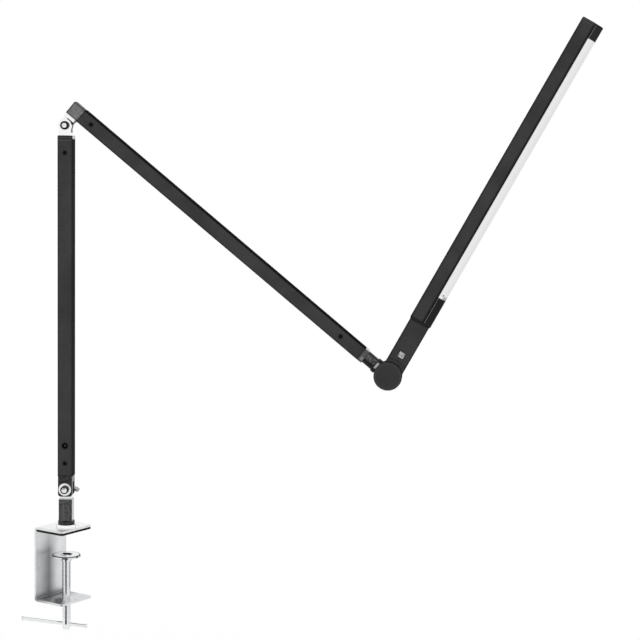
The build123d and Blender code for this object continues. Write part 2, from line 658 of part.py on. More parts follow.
def paired(solid):
    """A solid and its copy on the other side of the bracket's middle plane."""
    return solid, mirror(solid, Plane.XY.offset(BRACKET_SHIFT))


def countersunk_y(d, length, head_d, head_h, face, x, z):
    """Countersunk screw going in towards -Y from a face."""
    head = cone_along("y", d, head_d, face - head_h, face)
    shank = rod_y(d, face - length, face)
    return Pos(x, 0, z) * (head + shank)


def cover_screw(play):
    """Screw through the bracket's cover, larger by the play."""
    d = COVER_SCREW_D + 2 * play
    head_d = COVER_SCREW_HEAD_D + 2 * play
    x = POCKET_END + COVER_SCREW_IN
    z = BRACKET_SHIFT + SIDE_SCREW_Z
    return countersunk_y(d, COVER_SCREW_L, head_d, COVER_SCREW_HEAD_H, BRACKET_HALF_T, x, z)


def bracket_screw(play):
    """Screw from inside the lower end cap into the bracket, larger by the play."""
    seat = HEAD_START + CAP_T
    z = BRACKET_SHIFT + SIDE_SCREW_Z
    head = rod_x(BRACKET_SCREW_HEAD_D, seat, seat + BRACKET_SCREW_HEAD_H, BRACKET_SCREW_Y, z)
    d = BRACKET_SCREW_D + 2 * play
    shank = rod_x(d, seat - BRACKET_SCREW_L, seat, BRACKET_SCREW_Y, z)
    return shank if play else head + shank


def bracket_span(width):
    """Low and high z of a width centred on the bracket's middle plane."""
    return BRACKET_SHIFT - width / 2, BRACKET_SHIFT + width / 2


def bracket_body():
    """Flat arm with a hinge tongue, a touch key window and a pocket behind."""
    low, high = bracket_span(BRACKET_W)
    shape = block(0, HEAD_START, -BRACKET_HALF_T, BRACKET_HALF_T, low, high)
    shape = chamfer(shape.edges().filter_by(Axis.X), BRACKET_EDGE)
    shape -= rod_y(2 * BRACKET_START, -BRACKET_T, BRACKET_T)
    shape -= rod_y(BRACKET_STEP_D, -BRACKET_T, BRACKET_STEP_DEPTH - BRACKET_HALF_T)
    half = BRACKET_TONGUE_W / 2
    tongue = block(0, POCKET_START, -TONGUE_HALF, TONGUE_HALF, -half, half)
    tongue += rod_y(BRACKET_TONGUE_D, -TONGUE_HALF, TONGUE_HALF)
    shape += tongue - rod_y(2 * BOLT_HOLE_R, -TONGUE_HALF, TONGUE_HALF)
    shape -= block(POCKET_START, POCKET_END, POCKET_FLOOR, BRACKET_T, *bracket_span(POCKET_W))
    shape -= cover_plate(SLIP)
    window = TOUCH_W / 2 + SLIP
    span = bracket_span(2 * window)
    shape -= block(TOUCH_AT - window, TOUCH_AT + window, -BRACKET_T, POCKET_FLOOR, *span)
    for screw in (*paired(cover_screw(RUN_FIT)), *paired(bracket_screw(RUN_FIT))):
        shape -= screw
    return shape


def cover_plate(play):
    """Plate over the bracket's pocket, larger by the play."""
    start = POCKET_START - COVER_LAP - play
    end = POCKET_END + COVER_END_LAP + play
    span = bracket_span(POCKET_W + 2 * COVER_LAP + 2 * play)
    return block(start, end, COVER_SEAT, BRACKET_HALF_T, *span)


def bracket_cover():
    """Rear cover of the bracket with two countersunk holes."""
    shape = cover_plate(0)
    for screw in paired(cover_screw(RUN_FIT)):
        shape -= screw
    return shape


def touch_key():
    """Square touch key in the bracket's front."""
    half = TOUCH_W / 2
    front = -BRACKET_HALF_T - TOUCH_PROUD
    return block(TOUCH_AT - half, TOUCH_AT + half, front, POCKET_FLOOR, *bracket_span(TOUCH_W))


def touch_board():
    """Circuit board behind the touch key."""
    start = POCKET_START + SLIP
    span = bracket_span(TOUCH_BOARD_W)
    return block(start, start + TOUCH_BOARD_L, POCKET_FLOOR, POCKET_FLOOR + BOARD_T, *span)


def dome_section():
    """Section of the diffuser: an arc with a skirt inside each wall of the channel."""
    inner = DOME_HALF - DOME_WALL
    skirt_top = LIP_Z + SKIRT_H
    low = LIP_Z - DOME_RISE
    with BuildSketch() as section:
        with BuildLine():
            Polyline((-DOME_HALF, LIP_Z), (-DOME_HALF, skirt_top), (-inner, skirt_top), (-inner, LIP_Z))
            ThreePointArc((-inner, LIP_Z), (0, low + DOME_WALL), (inner, LIP_Z))
            Polyline((inner, LIP_Z), (inner, skirt_top), (DOME_HALF, skirt_top), (DOME_HALF, LIP_Z))
            ThreePointArc((DOME_HALF, LIP_Z), (0, low), (-DOME_HALF, LIP_Z))
        make_face()
    return section.sketch


def cap_section():
    """Outline of an end cap: the channel's outline with the dome closed below it."""
    step = HEAD_HALF - LIP_CHAMFER
    with BuildSketch() as section:
        with BuildLine():
            Polyline(
                (-DOME_HALF, LIP_Z),
                (-step, LIP_Z),
                (-HEAD_HALF, LIP_Z + LIP_CHAMFER),
                (-HEAD_HALF, HEAD_BACK),
                (HEAD_HALF, HEAD_BACK),
                (HEAD_HALF, LIP_Z + LIP_CHAMFER),
                (step, LIP_Z),
                (DOME_HALF, LIP_Z),
            )
            ThreePointArc((DOME_HALF, LIP_Z), (0, LIP_Z - DOME_RISE), (-DOME_HALF, LIP_Z))
        make_face()
    return section.sketch


def head_channel():
    """Aluminium channel, open below, with screw ribs in its corners."""
    shape = block(CHANNEL_START, CHANNEL_END, -HEAD_HALF, HEAD_HALF, LIP_Z, HEAD_BACK)
    long_edges = shape.edges().filter_by(Axis.X).group_by(Axis.Z)
    shape = fillet(long_edges[-1], CHANNEL_EDGE_R)
    shape = chamfer(shape.edges().filter_by(Axis.X).group_by(Axis.Z)[0], LIP_CHAMFER)
    shape -= block(CHANNEL_START, CHANNEL_END, -CAVITY_HALF, CAVITY_HALF, 2 * LIP_Z, WEB_IN)
    rib_in = CAVITY_HALF - RIB_W
    for low, high in ((-CAVITY_HALF, -rib_in), (rib_in, CAVITY_HALF)):
        shape += block(CHANNEL_START, CHANNEL_END, low, high, WEB_IN - RIB_W, WEB_IN)
    for screw in cap_screws(RUN_FIT):
        shape -= screw
    for screw in led_board_screws(RUN_FIT):
        shape -= screw
    return shape


def cap_screws(play):
    """Four countersunk screws through the end caps into the channel's ribs, larger by the play."""
    d = CAP_SCREW_D + 2 * play
    head_d = CAP_SCREW_HEAD_D + 2 * play
    screws = []
    for y in (-CAP_SCREW_Y, CAP_SCREW_Y):
        low = cone_along("x", head_d, d, HEAD_START, HEAD_START + CAP_SCREW_HEAD_H)
        low += rod_x(d, HEAD_START, HEAD_START + CAP_SCREW_L)
        high = cone_along("x", d, head_d, HEAD_END - CAP_SCREW_HEAD_H, HEAD_END)
        high += rod_x(d, HEAD_END - CAP_SCREW_L, HEAD_END)
        screws += [Pos(0, y, CAP_SCREW_Z) * low, Pos(0, y, CAP_SCREW_Z) * high]
    return screws


def bottom_cap():
    """Lower end cap with its closed part of the dome, screwed to the bracket."""
    shape = profile_bar(cap_section(), HEAD_START, CHANNEL_START)
    shape += profile_bar(dome_section(), CHANNEL_START, DIFFUSER_START)
    for screw in (*cap_screws(RUN_FIT), *paired(bracket_screw(RUN_FIT))):
        shape -= screw
    return shape


def top_cap():
    """Upper end cap with its closed part of the dome."""
    shape = profile_bar(cap_section(), CHANNEL_END, HEAD_END)
    shape += profile_bar(dome_section(), DIFFUSER_END, CHANNEL_END)
    for screw in cap_screws(RUN_FIT):
        shape -= screw
    return shape


def diffuser():
    """Opal dome between the two end caps."""
    return profile_bar(dome_section(), DIFFUSER_START, DIFFUSER_END)


def led_board_span():
    """Start and end of the LED board along the head."""
    return DIFFUSER_START + LED_BOARD_MARGIN, DIFFUSER_END - LED_BOARD_MARGIN


def led_board_screws(play):
    """Screws that hold the LED board to the channel's back, larger by the play."""
    start, end = led_board_span()
    face = WEB_IN - LED_BOARD_T
    d = LED_SCREW_D + 2 * play
    screws = []
    for x in (start + LED_PITCH, (start + end) / 2, end - LED_PITCH):
        shank = rod_z(d, face, WEB_IN + LED_SCREW_BITE, x, LED_SCREW_SIDE)
        head = rod_z(LED_SCREW_HEAD_D, face - LED_SCREW_HEAD_H, face, x, LED_SCREW_SIDE)
        screws.append(shank if play else shank + head)
    return screws


def led_board():
    """Long circuit board on the channel's back."""
    start, end = led_board_span()
    half = LED_BOARD_W / 2
    shape = block(start, end, -half, half, WEB_IN - LED_BOARD_T, WEB_IN)
    for screw in led_board_screws(RUN_FIT):
        shape -= screw
    return shape


def led_chips():
    """Row of LEDs along the middle of the board."""
    start, end = led_board_span()
    count = int((end - start) / LED_PITCH)
    first = (start + end - (count - 1) * LED_PITCH) / 2
    face = WEB_IN - LED_BOARD_T
    places = [first + i * LED_PITCH for i in range(count)]
    half_l = LED_L / 2
    half_w = LED_W / 2
    return [block(x - half_l, x + half_l, -half_w, half_w, face - LED_T, face) for x in places]


def driver_board():
    """Small circuit board behind the lower end cap."""
    start = CHANNEL_START + CAP_SCREW_D
    half = DRIVER_W / 2
    return block(start, start + DRIVER_L, -half, half, WEB_IN - BOARD_T, WEB_IN)


def driver_parts():
    """Coil, capacitor and control chip on the driver board."""
    face = WEB_IN - BOARD_T
    start = CHANNEL_START + CAP_SCREW_D
    side = DRIVER_W / 4
    coil = rod_z(COIL_D, face - COIL_H, face, start + COIL_D, -side)
    capacitor = rod_z(CAPACITOR_D, face - CAPACITOR_H, face, start + COIL_D, side)
    x = start + DRIVER_L - CHIP_W
    chip = block(x - CHIP_W / 2, x + CHIP_W / 2, -CHIP_W / 2, CHIP_W / 2, face - CHIP_H, face)
    return coil, capacitor, chip


def main():
    os.makedirs("parts", exist_ok=True)

    save("clamp_bracket", CLAMP, clamp_bracket())
    save("jaw_pad", CLAMP, jaw_pad())
    save("thread_bush", CLAMP, thread_bush())
    save("pressure_pad", CLAMP, pressure_pad())
    save("clamp_screw", SCREW, clamp_screw())
    save("t_bar", SCREW, t_bar())

    save("swivel_post", LAMP, swivel_post())
    save("swivel_washer", CLAMP, swivel_washer())
    save("swivel_flange", LAMP, swivel_flange())
    save("swivel_screw", LAMP, swivel_screw_envelope(0))

    rear = EAR_OUT + WASHER_T
    bolt_hole = 2 * BOLT_HOLE_R
    save("shoulder_fork", SHOULDER, shoulder_fork())
    save("shoulder_bolt", SHOULDER, hinge_bolt(-rear, rear + WING_HUB_H))
    save("shoulder_ring", SHOULDER, ring_y(RING_D, bolt_hole, -rear, -EAR_OUT))
    save("shoulder_rear_washer", SHOULDER, ring_y(WASHER_D, bolt_hole, EAR_OUT, rear))
    save("shoulder_friction_washers", SHOULDER, *friction_washers())
    save("wing_nut", SHOULDER, wing_nut())
    save("lower_arm_tube", SHOULDER, lower_arm_tube())
    foot_screw = grub_screw(LOWER_HALF, 0, TUBE_FOOT + GRUB_AT_FOOT)
    save("lower_arm_screws", SHOULDER, foot_screw, grub_screw(LOWER_HALF, 0, LOWER_END - GRUB_AT_HEAD))
    save("dc_jack", SHOULDER, dc_jack())
    save("dc_jack_pin", SHOULDER, dc_jack_pin())
    save("elbow_fork", SHOULDER, elbow_fork())
    save("lower_arm_wire", SHOULDER, lower_arm_wire())

    nut = hex_y(NUT_FLATS, rear, rear + NUT_H) - rod_y(bolt_hole, rear, rear + NUT_H)
    save("elbow_block", ELBOW, elbow_block())
    save("elbow_bolt", ELBOW, hinge_bolt(-EAR_OUT, rear + NUT_H))
    save("elbow_rear_washer", ELBOW, ring_y(WASHER_D, bolt_hole, EAR_OUT, rear))
    save("elbow_nut", ELBOW, nut)
    save("elbow_friction_washers", ELBOW, *friction_washers())
    save("upper_arm_tube", ELBOW, upper_arm_tube())
    start_screw = grub_screw(TUBE_HALF, UPPER_START + GRUB_AT_START, ARM_RISE)
    save("upper_arm_screws", ELBOW, start_screw, grub_screw(TUBE_HALF, UPPER_END - GRUB_AT_END, ARM_RISE))
    save("upper_arm_wire", ELBOW, upper_arm_wire())
    save("wrist_plug", ELBOW, wrist_plug())
    save("wrist_circlip", ELBOW, wrist_circlip())
    save("wrist_friction_ring", ELBOW, wrist_friction_ring())
    save("wrist_yoke", ELBOW, wrist_yoke())

    save("hinge_cap_front", HEAD, hinge_cap(-1))
    save("hinge_cap_back", HEAD, hinge_cap(1))
    save("head_hinge_bolt", HEAD, head_hinge_bolt())
    save("head_hinge_nut", HEAD * Rot(0, UPPER_DROP_DEG + HEAD_RISE_DEG, 0), head_hinge_nut())
    save("head_friction_washers", HEAD, *friction_washers())

    save("bracket_body", HEAD, bracket_body())
    save("bracket_cover", HEAD, bracket_cover())
    save("bracket_cover_screws", HEAD, *paired(cover_screw(0)))
    save("bracket_screws", HEAD, *paired(bracket_screw(0)))
    save("touch_key", HEAD, touch_key())
    save("touch_board", HEAD, touch_board())
    save("head_channel", HEAD, head_channel())
    save("diffuser", HEAD, diffuser())
    save("bottom_cap", HEAD, bottom_cap())
    save("top_cap", HEAD, top_cap())
    save("cap_screws", HEAD, *cap_screws(0))
    save("led_board", HEAD, led_board())
    save("led_chips", HEAD, *led_chips())
    save("led_board_screws", HEAD, *led_board_screws(0))
    save("driver_board", HEAD, driver_board())
    save("driver_parts", HEAD, *driver_parts())


if __name__ == "__main__":
    main()
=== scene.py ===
import json
import math

import bmesh
import bpy
import numpy as np
from mathutils import Matrix, Vector


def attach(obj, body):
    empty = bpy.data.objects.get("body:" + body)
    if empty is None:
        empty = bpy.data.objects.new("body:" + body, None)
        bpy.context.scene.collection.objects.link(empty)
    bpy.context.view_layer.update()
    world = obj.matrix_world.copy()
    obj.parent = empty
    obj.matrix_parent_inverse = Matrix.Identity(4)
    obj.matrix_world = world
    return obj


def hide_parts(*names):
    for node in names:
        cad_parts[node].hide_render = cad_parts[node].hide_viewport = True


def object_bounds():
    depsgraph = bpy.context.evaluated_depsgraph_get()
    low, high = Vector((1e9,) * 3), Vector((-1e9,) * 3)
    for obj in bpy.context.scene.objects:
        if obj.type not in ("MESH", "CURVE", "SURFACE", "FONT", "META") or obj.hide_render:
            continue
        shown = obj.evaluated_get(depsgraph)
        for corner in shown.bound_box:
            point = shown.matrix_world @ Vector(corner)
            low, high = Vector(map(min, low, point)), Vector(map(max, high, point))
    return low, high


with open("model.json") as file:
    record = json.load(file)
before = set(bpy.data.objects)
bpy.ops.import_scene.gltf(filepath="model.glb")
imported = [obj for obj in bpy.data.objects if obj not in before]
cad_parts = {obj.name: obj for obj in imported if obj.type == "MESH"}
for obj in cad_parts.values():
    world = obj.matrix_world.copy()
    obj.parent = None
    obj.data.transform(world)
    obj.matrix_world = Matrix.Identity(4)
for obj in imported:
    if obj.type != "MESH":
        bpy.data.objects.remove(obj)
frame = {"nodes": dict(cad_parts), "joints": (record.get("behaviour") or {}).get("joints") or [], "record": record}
CAD_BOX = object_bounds()

bl_info = {
    "name": "Clamp lamp looks",
    "version": (1, 0, 0),
    "blender": (4, 5, 0),
    "location": "View3D > Sidebar > Lamp",
    "description": "Finishes, small forms and the studio of a clamp-on architect lamp",
    "category": "Object",
}

MM = 0.001
JOINTS = {joint["name"]: joint for joint in frame["joints"]}
SLOT_OF = {part["node"]: part["material_slot"] for part in frame["record"]["subparts"]}
TABLE = {}  # materials by the name of their slot or finish, filled by the first step


def turned(axis, degrees):
    """4x4 turn about X, Y or Z."""
    return np.array(Matrix.Rotation(math.radians(degrees), 4, axis))


def pivot(joint):
    """4x4 shift to a joint's pivot."""
    return np.array(Matrix.Translation(JOINTS[joint]["pos_m"]))


# The lamp's pose at rest, in degrees, and the frames of its groups there. Hinge pins run along Y, and the
# viewer is on the -Y side.
SWIVEL, UPPER_DROP, HEAD_RISE, BAR_TURN = 30.0, 39.3, 61.4, 13.6
LAMP = np.eye(4)
ARM_PLANE = turned("Z", SWIVEL)
SHOULDER = pivot("shoulder_tilt") @ ARM_PLANE
ELBOW = pivot("elbow_bend") @ ARM_PLANE @ turned("Y", UPPER_DROP)
WRIST = pivot("wrist_roll") @ ARM_PLANE @ turned("Y", UPPER_DROP)
HEAD = pivot("head_tilt") @ ARM_PLANE @ turned("Y", -HEAD_RISE)
SCREW = turned("Z", BAR_TURN)

# Places of pieces and of changes in a finish, in millimetres in the frame that each line names.
SPINE_INNER, SPINE_OUTER, PLATE_TOP, LOWER_PLATE = -23.0, -25.5, 4.9, -78.4  # LAMP
PAD_RIM_RADIUS, PAD_RIM, PAD_NECK = 14.4, -28.45, -31.4  # LAMP
BAR_HEIGHT = -108.4  # SCREW
POST_TOP, POST_HALF = 37.0, 7.7  # LAMP and ARM_PLANE
FORK_STEM = 397.6  # SHOULDER
BLOCK_TOP, BLOCK_BACK, SLAB_TOP, SLAB_END, TONGUE_TOP = 27.05, -8.2, 11.75, 5.2, 8.05  # ELBOW
# The last of these is the middle of a painted highlight on the wrist's collar.
STEP_HALF, COLLAR, COLLAR_HIGHLIGHT = 7.85, 18.5, 21.3  # WRIST
LIP, GLASS_START, GLASS_END = -4.5, 104.0, 427.2  # HEAD

# Grooves with a paler line of painted highlight, and a top face darkened by painted shade, in the powder
# coat: frame, axis and place in millimetres.
TUBE_SEAM = (SHOULDER, 2, 393.8)
TUBE_TOP_SHADE = (ELBOW, 2, 26.2)
HEAD_SEAM = (HEAD, 0, 442.5)

# Cards that only reflections see, round the lamp's foot. Bearings are in degrees from the camera's side, to
# its right, and lengths in metres.
STANDING_CARDS = (  # name, bearing, distance, width, lower edge, upper edge, tone
    ("card_left", -152.0, 0.8, 0.30, 0.0, 1.3, 0.05),
    ("card_right", 150.0, 0.9, 0.26, 0.0, 1.3, 0.05),
    ("flag_left", -134.0, 0.012, 0.016, 0.040, 0.078, 0.02),
    ("flag_right", 116.0, 0.012, 0.008, 0.046, 0.078, 0.05),
    ("flag_pad", 77.0, 0.0237, 0.008, 0.081, 0.087, 0.01),
)
LYING_CARDS = (  # name, first bearing, last bearing, nearest, farthest, tone
    ("mat_front", -28.0, 20.0, 0.03, 0.52, 0.04),
    ("mat_rear", 138.0, 190.0, 0.04, 0.45, 0.25),
)
LIGHT_SIZE = 1.6  # side of each soft light
FOOT_GAP = 1 * MM  # foot of the cards below the clamp screw
MAT_RISE = 0.5 * MM  # lying cards above that foot

# Limits for the meshes that are made here: points this close are one, edges this short go, and edges with a
# greater angle stay sharp.
WELD, SLIVER, SHARP = 2e-7, 1e-8, math.radians(34)


class Value:
    """A socket that carries one number. Arithmetic on it adds Math nodes to its finish."""

    def __init__(self, finish, socket):
        self.finish = finish
        self.socket = socket

    def __add__(self, other):
        return self.finish.math("ADD", self, other)

    def __radd__(self, other):
        return self.finish.math("ADD", other, self)

    def __sub__(self, other):
        return self.finish.math("SUBTRACT", self, other)

    def __rsub__(self, other):
        return self.finish.math("SUBTRACT", other, self)

    def __mul__(self, other):
        return self.finish.math("MULTIPLY", self, other)

    def __rmul__(self, other):
        return self.finish.math("MULTIPLY", other, self)

    def clamped(self):
        """The same number kept between 0 and 1."""
        return self.finish.math("MINIMUM", self.finish.math("MAXIMUM", self, 0.0), 1.0)

    def near(self, middle, half):
        """1 within a half width of a middle, with soft sides."""
        return self.finish.math("ABSOLUTE", self - middle).ramp(1.3 * half, 0.7 * half)

    def ramp(self, low, high):
        """Smooth step from 0 at low to 1 at high."""
        node = self.finish.node(
            "ShaderNodeMapRange",
            {"interpolation_type": "SMOOTHSTEP"},
            {"Value": self, "From Min": low, "From Max": high},
        )
        return Value(self.finish, node.outputs["Result"])


class Finish:
    """One procedural material in a colour, read in Object coordinates."""

    def __init__(self, name, colour):
        self.colour = self.base = colour
        self.material = bpy.data.materials.new(name)
        self.material.use_nodes = True
        self.tree = self.material.node_tree
        self.tree.nodes.clear()
        self.place = self.node("ShaderNodeTexCoord").outputs["Object"]

    def node(self, kind, settings=None, sockets=None):
        """Adds a node of a kind, sets it up, then fills or links its sockets."""
        node = self.tree.nodes.new(kind)
        for key, setting in (settings or {}).items():
            setattr(node, key, setting)
        for key, value in (sockets or {}).items():
            target = node.inputs[key]
            if isinstance(value, Value):
                value = value.socket
            if isinstance(value, bpy.types.NodeSocket):
                self.tree.links.new(value, target)
            else:
                target.default_value = value
        return node

    def math(self, operation, *terms):
        """Math node on numbers or values."""
        node = self.node("ShaderNodeMath", {"operation": operation}, dict(enumerate(terms)))
        return Value(self, node.outputs[0])

    def mapped(self, stretch, matrix=LAMP):
        """Object coordinates in a group's frame, stretched along its axes."""
        turn = Matrix(matrix).inverted()
        node = self.node(
            "ShaderNodeMapping",
            {"vector_type": "POINT"},
            {"Vector": self.place, "Location": turn.to_translation(), "Rotation": turn.to_euler()},
        )
        sockets = {0: node.outputs[0], 1: stretch}
        return self.node("ShaderNodeVectorMath", {"operation": "MULTIPLY"}, sockets).outputs[0]

    def axes(self, matrix):
        """The three coordinates in a group's frame, in millimetres."""
        place = self.mapped((1 / MM, 1 / MM, 1 / MM), matrix)
        split = self.node("ShaderNodeSeparateXYZ", {}, {0: place})
        return [Value(self, output) for output in split.outputs]

    def radius(self, a, b):
        """Distance from the axis where both coordinates are 0."""
        return self.math("SQRT", a * a + b * b)

    def noise(self, size, detail=2.0, roughness=0.5, place=None):
        """Noise whose grains are about a size across, in millimetres."""
        sockets = {"Scale": 1.0 / (size * MM), "Detail": detail, "Roughness": roughness}
        sockets["Vector"] = place or self.place
        node = self.node("ShaderNodeTexNoise", {"noise_dimensions": "3D"}, sockets)
        return Value(self, node.outputs["Fac"])

    def cells(self, size):
        """Distance to the nearest point of a scatter a size apart, in millimetres."""
        sockets = {"Scale": 1.0 / (size * MM), "Vector": self.place}
        node = self.node("ShaderNodeTexVoronoi", {}, sockets)
        return Value(self, node.outputs["Distance"])

    def mix(self, factor, low, high):
        """Colour between two colours."""
        node = self.node("ShaderNodeMix", {"data_type": "RGBA"}, {"Factor": factor, 6: low, 7: high})
        return node.outputs[2]

    def vary(self, factor, low, high):
        """Makes the base colour vary between two strengths of the colour."""
        self.base = self.mix(factor, scaled(self.colour, low), scaled(self.colour, high))

    def tint(self, factor, strength):
        """Lays a strength of the colour over the base colour."""
        self.paint(factor, scaled(self.colour, strength))

    def paint(self, factor, colour):
        """Lays another colour over the base colour."""
        self.base = self.mix(factor, self.base, colour)

    def rounded(self, radius, full=0.22):
        """Normal with the piece's edges eased by a radius in millimetres, and how near an edge is, 0 to 1.

        The nearness is 1 where the eased normal's dot product with the flat one has dropped by full."""
        eased = self.node("ShaderNodeBevel", {"samples": 6}, {"Radius": radius * MM}).outputs[0]
        flat = self.node("ShaderNodeNewGeometry").outputs["True Normal"]
        dot = self.node("ShaderNodeVectorMath", {"operation": "DOT_PRODUCT"}, {0: eased, 1: flat})
        near = 1.0 - Value(self, dot.outputs["Value"])
        return eased, near.ramp(0.01, full)

    def bump(self, height, depth, normal=None):
        """Normal tilted by a height field whose full range is a depth, in millimetres."""
        sockets = {"Height": height, "Distance": depth * MM, "Strength": 1.0}
        if normal is not None:
            sockets["Normal"] = normal
        return self.node("ShaderNodeBump", {}, sockets).outputs[0]

    def shade(self, rough, normal, **others):
        """Principled surface in the base colour, with other sockets by their names, joined to the output."""
        sockets = {"Base Color": self.base, "Roughness": rough, "Normal": normal}
        for key, value in others.items():
            sockets[key.replace("_", " ").title().replace("Ior", "IOR")] = value
        surface = self.node("ShaderNodeBsdfPrincipled", {}, sockets)
        self.node("ShaderNodeOutputMaterial", {}, {"Surface": surface.outputs[0]})
        return self.material


def grey(level):
    """Opaque colour from one grey level."""
    return (level, level, level, 1.0)


def scaled(colour, factor):
    """A colour made darker or lighter."""
    return tuple(min(1.0, part * factor) for part in colour[:3]) + (1.0,)


def powder_coat(name, colour, seam=None, painted_top_shade=None):
    """Black satin powder coat: fine orange peel, a little bloom and edges darkened by painted shade, rubbed pale
    in places.

    A seam (frame, axis, place) is a thin groove across the piece, with a paler line of painted highlight before
    it. A painted top shade (frame, axis, place) makes it blacker beyond its place."""
    finish = Finish(name, colour)
    eased, edge = finish.rounded(0.7)
    line = finish.rounded(2.6, 0.05)[1]
    peel = finish.noise(1.1, 2.0, 0.55)
    grain = finish.noise(0.28, 1.0)
    bloom = finish.noise(38, 3.0, 0.6)
    specks = finish.cells(2.4).ramp(0.16, 0.03)
    rub = (edge * finish.noise(6, 4.0, 0.65).ramp(0.42, 0.66)).clamped()
    finish.vary(bloom.ramp(0.3, 0.7), 0.86, 1.14)
    finish.tint(specks * 0.3, 1.8)
    # Painted shade: dark lines along the edges.
    finish.tint(line * 0.8, 0.25)
    finish.tint(rub * 0.15, 1.6)
    if seam is not None:
        matrix, axis, place = seam
        along = finish.axes(matrix)[axis]
        finish.tint(along.near(place, 0.45) * 0.7, 0.3)
        # Painted highlight: a paler line just before the groove.
        finish.tint(along.near(place - 1.2, 0.6) * 0.6, 1.9)
    if painted_top_shade is not None:
        matrix, axis, place = painted_top_shade
        # Painted shade: the top face beyond its place is made blacker.
        beyond = finish.axes(matrix)[axis].ramp(place - 0.2, place + 0.2)
        finish.tint(beyond * 0.9, 0.12)
    rough = 0.80 + 0.10 * (bloom - 0.5) + 0.06 * (grain - 0.5) - 0.08 * rub
    return finish.shade(rough, finish.bump(peel * 0.8 + grain * 0.2, 0.030, eased), specular_ior_level=0.01)


def moulded_plastic(name, colour, turned_ring=None, plate=None):
    """Black moulding with a fine spark-eroded grain and edges darkened by painted shade.

    A turned ring is the radius of a paler line round the head's pivot. A plate (height, colour) is the part
    above a height in the head's frame."""
    finish = Finish(name, colour)
    eased, edge = finish.rounded(1.2, 0.10)
    spark = finish.noise(0.45, 3.0, 0.7)
    flow = finish.noise(24, 2.0, 0.5)
    finish.vary(flow, 0.85, 1.18)
    if turned_ring is not None:
        x, _, z = finish.axes(HEAD)
        finish.tint(finish.radius(x, z).near(turned_ring, 0.5) * 0.5, 1.8)
    if plate is not None:
        height = finish.axes(HEAD)[2]
        finish.paint(height.ramp(plate[0] - 0.1, plate[0] + 0.1), plate[1])
    # Painted shade: darker edges.
    finish.tint(edge * 0.6, 0.35)
    rough = 0.66 + 0.12 * (flow - 0.5) - 0.10 * edge + 0.08 * (spark - 0.5)
    return finish.shade(rough, finish.bump(spark, 0.020, eased), specular_ior_level=0.08)


def chrome_plate(name, colour, gloss, mottle, outline=0.85, ease=0.55, dull_below=None, pad=False):
    """Bright plate: slow waviness, faint polishing lines, smudges and dark edge lines of painted reflection, eased
    by a radius.

    It is darker below a height in the lower arm's frame, where one is given. On the pressure pad, a painted dark
    reflection darkens its rim and painted shade darkens round its hub's neck."""
    finish = Finish(name, colour)
    eased, edge = finish.rounded(ease)
    wave = finish.noise(5, 2.0, 0.5)
    smudge = finish.noise(9, 5.0, 0.65)
    lines = finish.noise(0.5, 2.0, 0.6, finish.mapped((1.0, 1.0, 0.06)))
    pits = finish.cells(1.7).ramp(0.10, 0.02)
    stain = smudge.ramp(0.40, 0.70)
    finish.tint(stain * mottle, 0.45)
    if dull_below is not None:
        below = finish.axes(SHOULDER)[2].ramp(dull_below + 0.1, dull_below - 0.1)
        finish.tint(below, 0.42)
    if pad:
        x, y, z = finish.axes(LAMP)
        outer = finish.radius(x, y).ramp(PAD_RIM_RADIUS - 0.2, PAD_RIM_RADIUS + 0.2)
        # Painted reflection darkens the pad's rim, and painted shade darkens round its neck.
        dark = outer * z.ramp(PAD_RIM - 0.1, PAD_RIM + 0.1) + z.near(PAD_NECK, 1.3)
        finish.tint(dark.clamped() * 0.95, 0.06)
    # Painted reflection: dark lines along the edges.
    finish.tint(edge * outline, 0.18)
    rough = gloss + 0.10 * stain + 0.05 * (lines - 0.5) + 0.10 * edge + 0.08 * pits
    return finish.shade(rough, finish.bump(wave * 0.8 + lines * 0.2, 0.012, eased), metallic=1.0)


def clamp_plate(name, colour):
    """Satin plate of the clamp, brushed up and down, with a painted highlight on top, a painted shadow of the
    screw on its spine and painted shade in its bend.
    """
    finish = Finish(name, colour)
    eased, edge = finish.rounded(0.5)
    brushed = finish.noise(0.6, 3.0, 0.65, finish.mapped((1.0, 1.0, 0.03)))
    cloud = finish.noise(20, 2.0, 0.5)
    x, y, z = finish.axes(LAMP)
    bend_shade = x.ramp(4, -24) * z.ramp(LOWER_PLATE + 8.4, LOWER_PLATE - 0.6)
    spine = x.ramp(SPINE_INNER + 3, SPINE_INNER + 1) * x.ramp(SPINE_OUTER + 0.3, SPINE_OUTER + 1.1)
    middle = finish.math("ABSOLUTE", y + 4).ramp(18, -3)
    # Painted shadow of the screw on the spine's inner face.
    band = spine * z.ramp(4, 0) * middle * (0.4 + 0.6 * z.ramp(-4, -34))
    finish.tint(cloud.ramp(0.35, 0.7), 0.92)
    finish.tint(band * 0.88, 0.16)
    # Painted highlight: the top face is made near white.
    finish.paint(z.ramp(PLATE_TOP - 0.2, PLATE_TOP - 0.04), grey(0.985))
    # Painted shade in the bend, on the lower plate by the spine.
    finish.tint(bend_shade * 0.8, 0.27)
    # Painted shade: dark lines along the edges.
    finish.tint(edge * 0.6, 0.30)
    rough = 0.40 + 0.08 * (cloud - 0.5) + 0.10 * (brushed - 0.5)
    return finish.shade(rough, finish.bump(brushed, 0.004, eased), metallic=1.0)


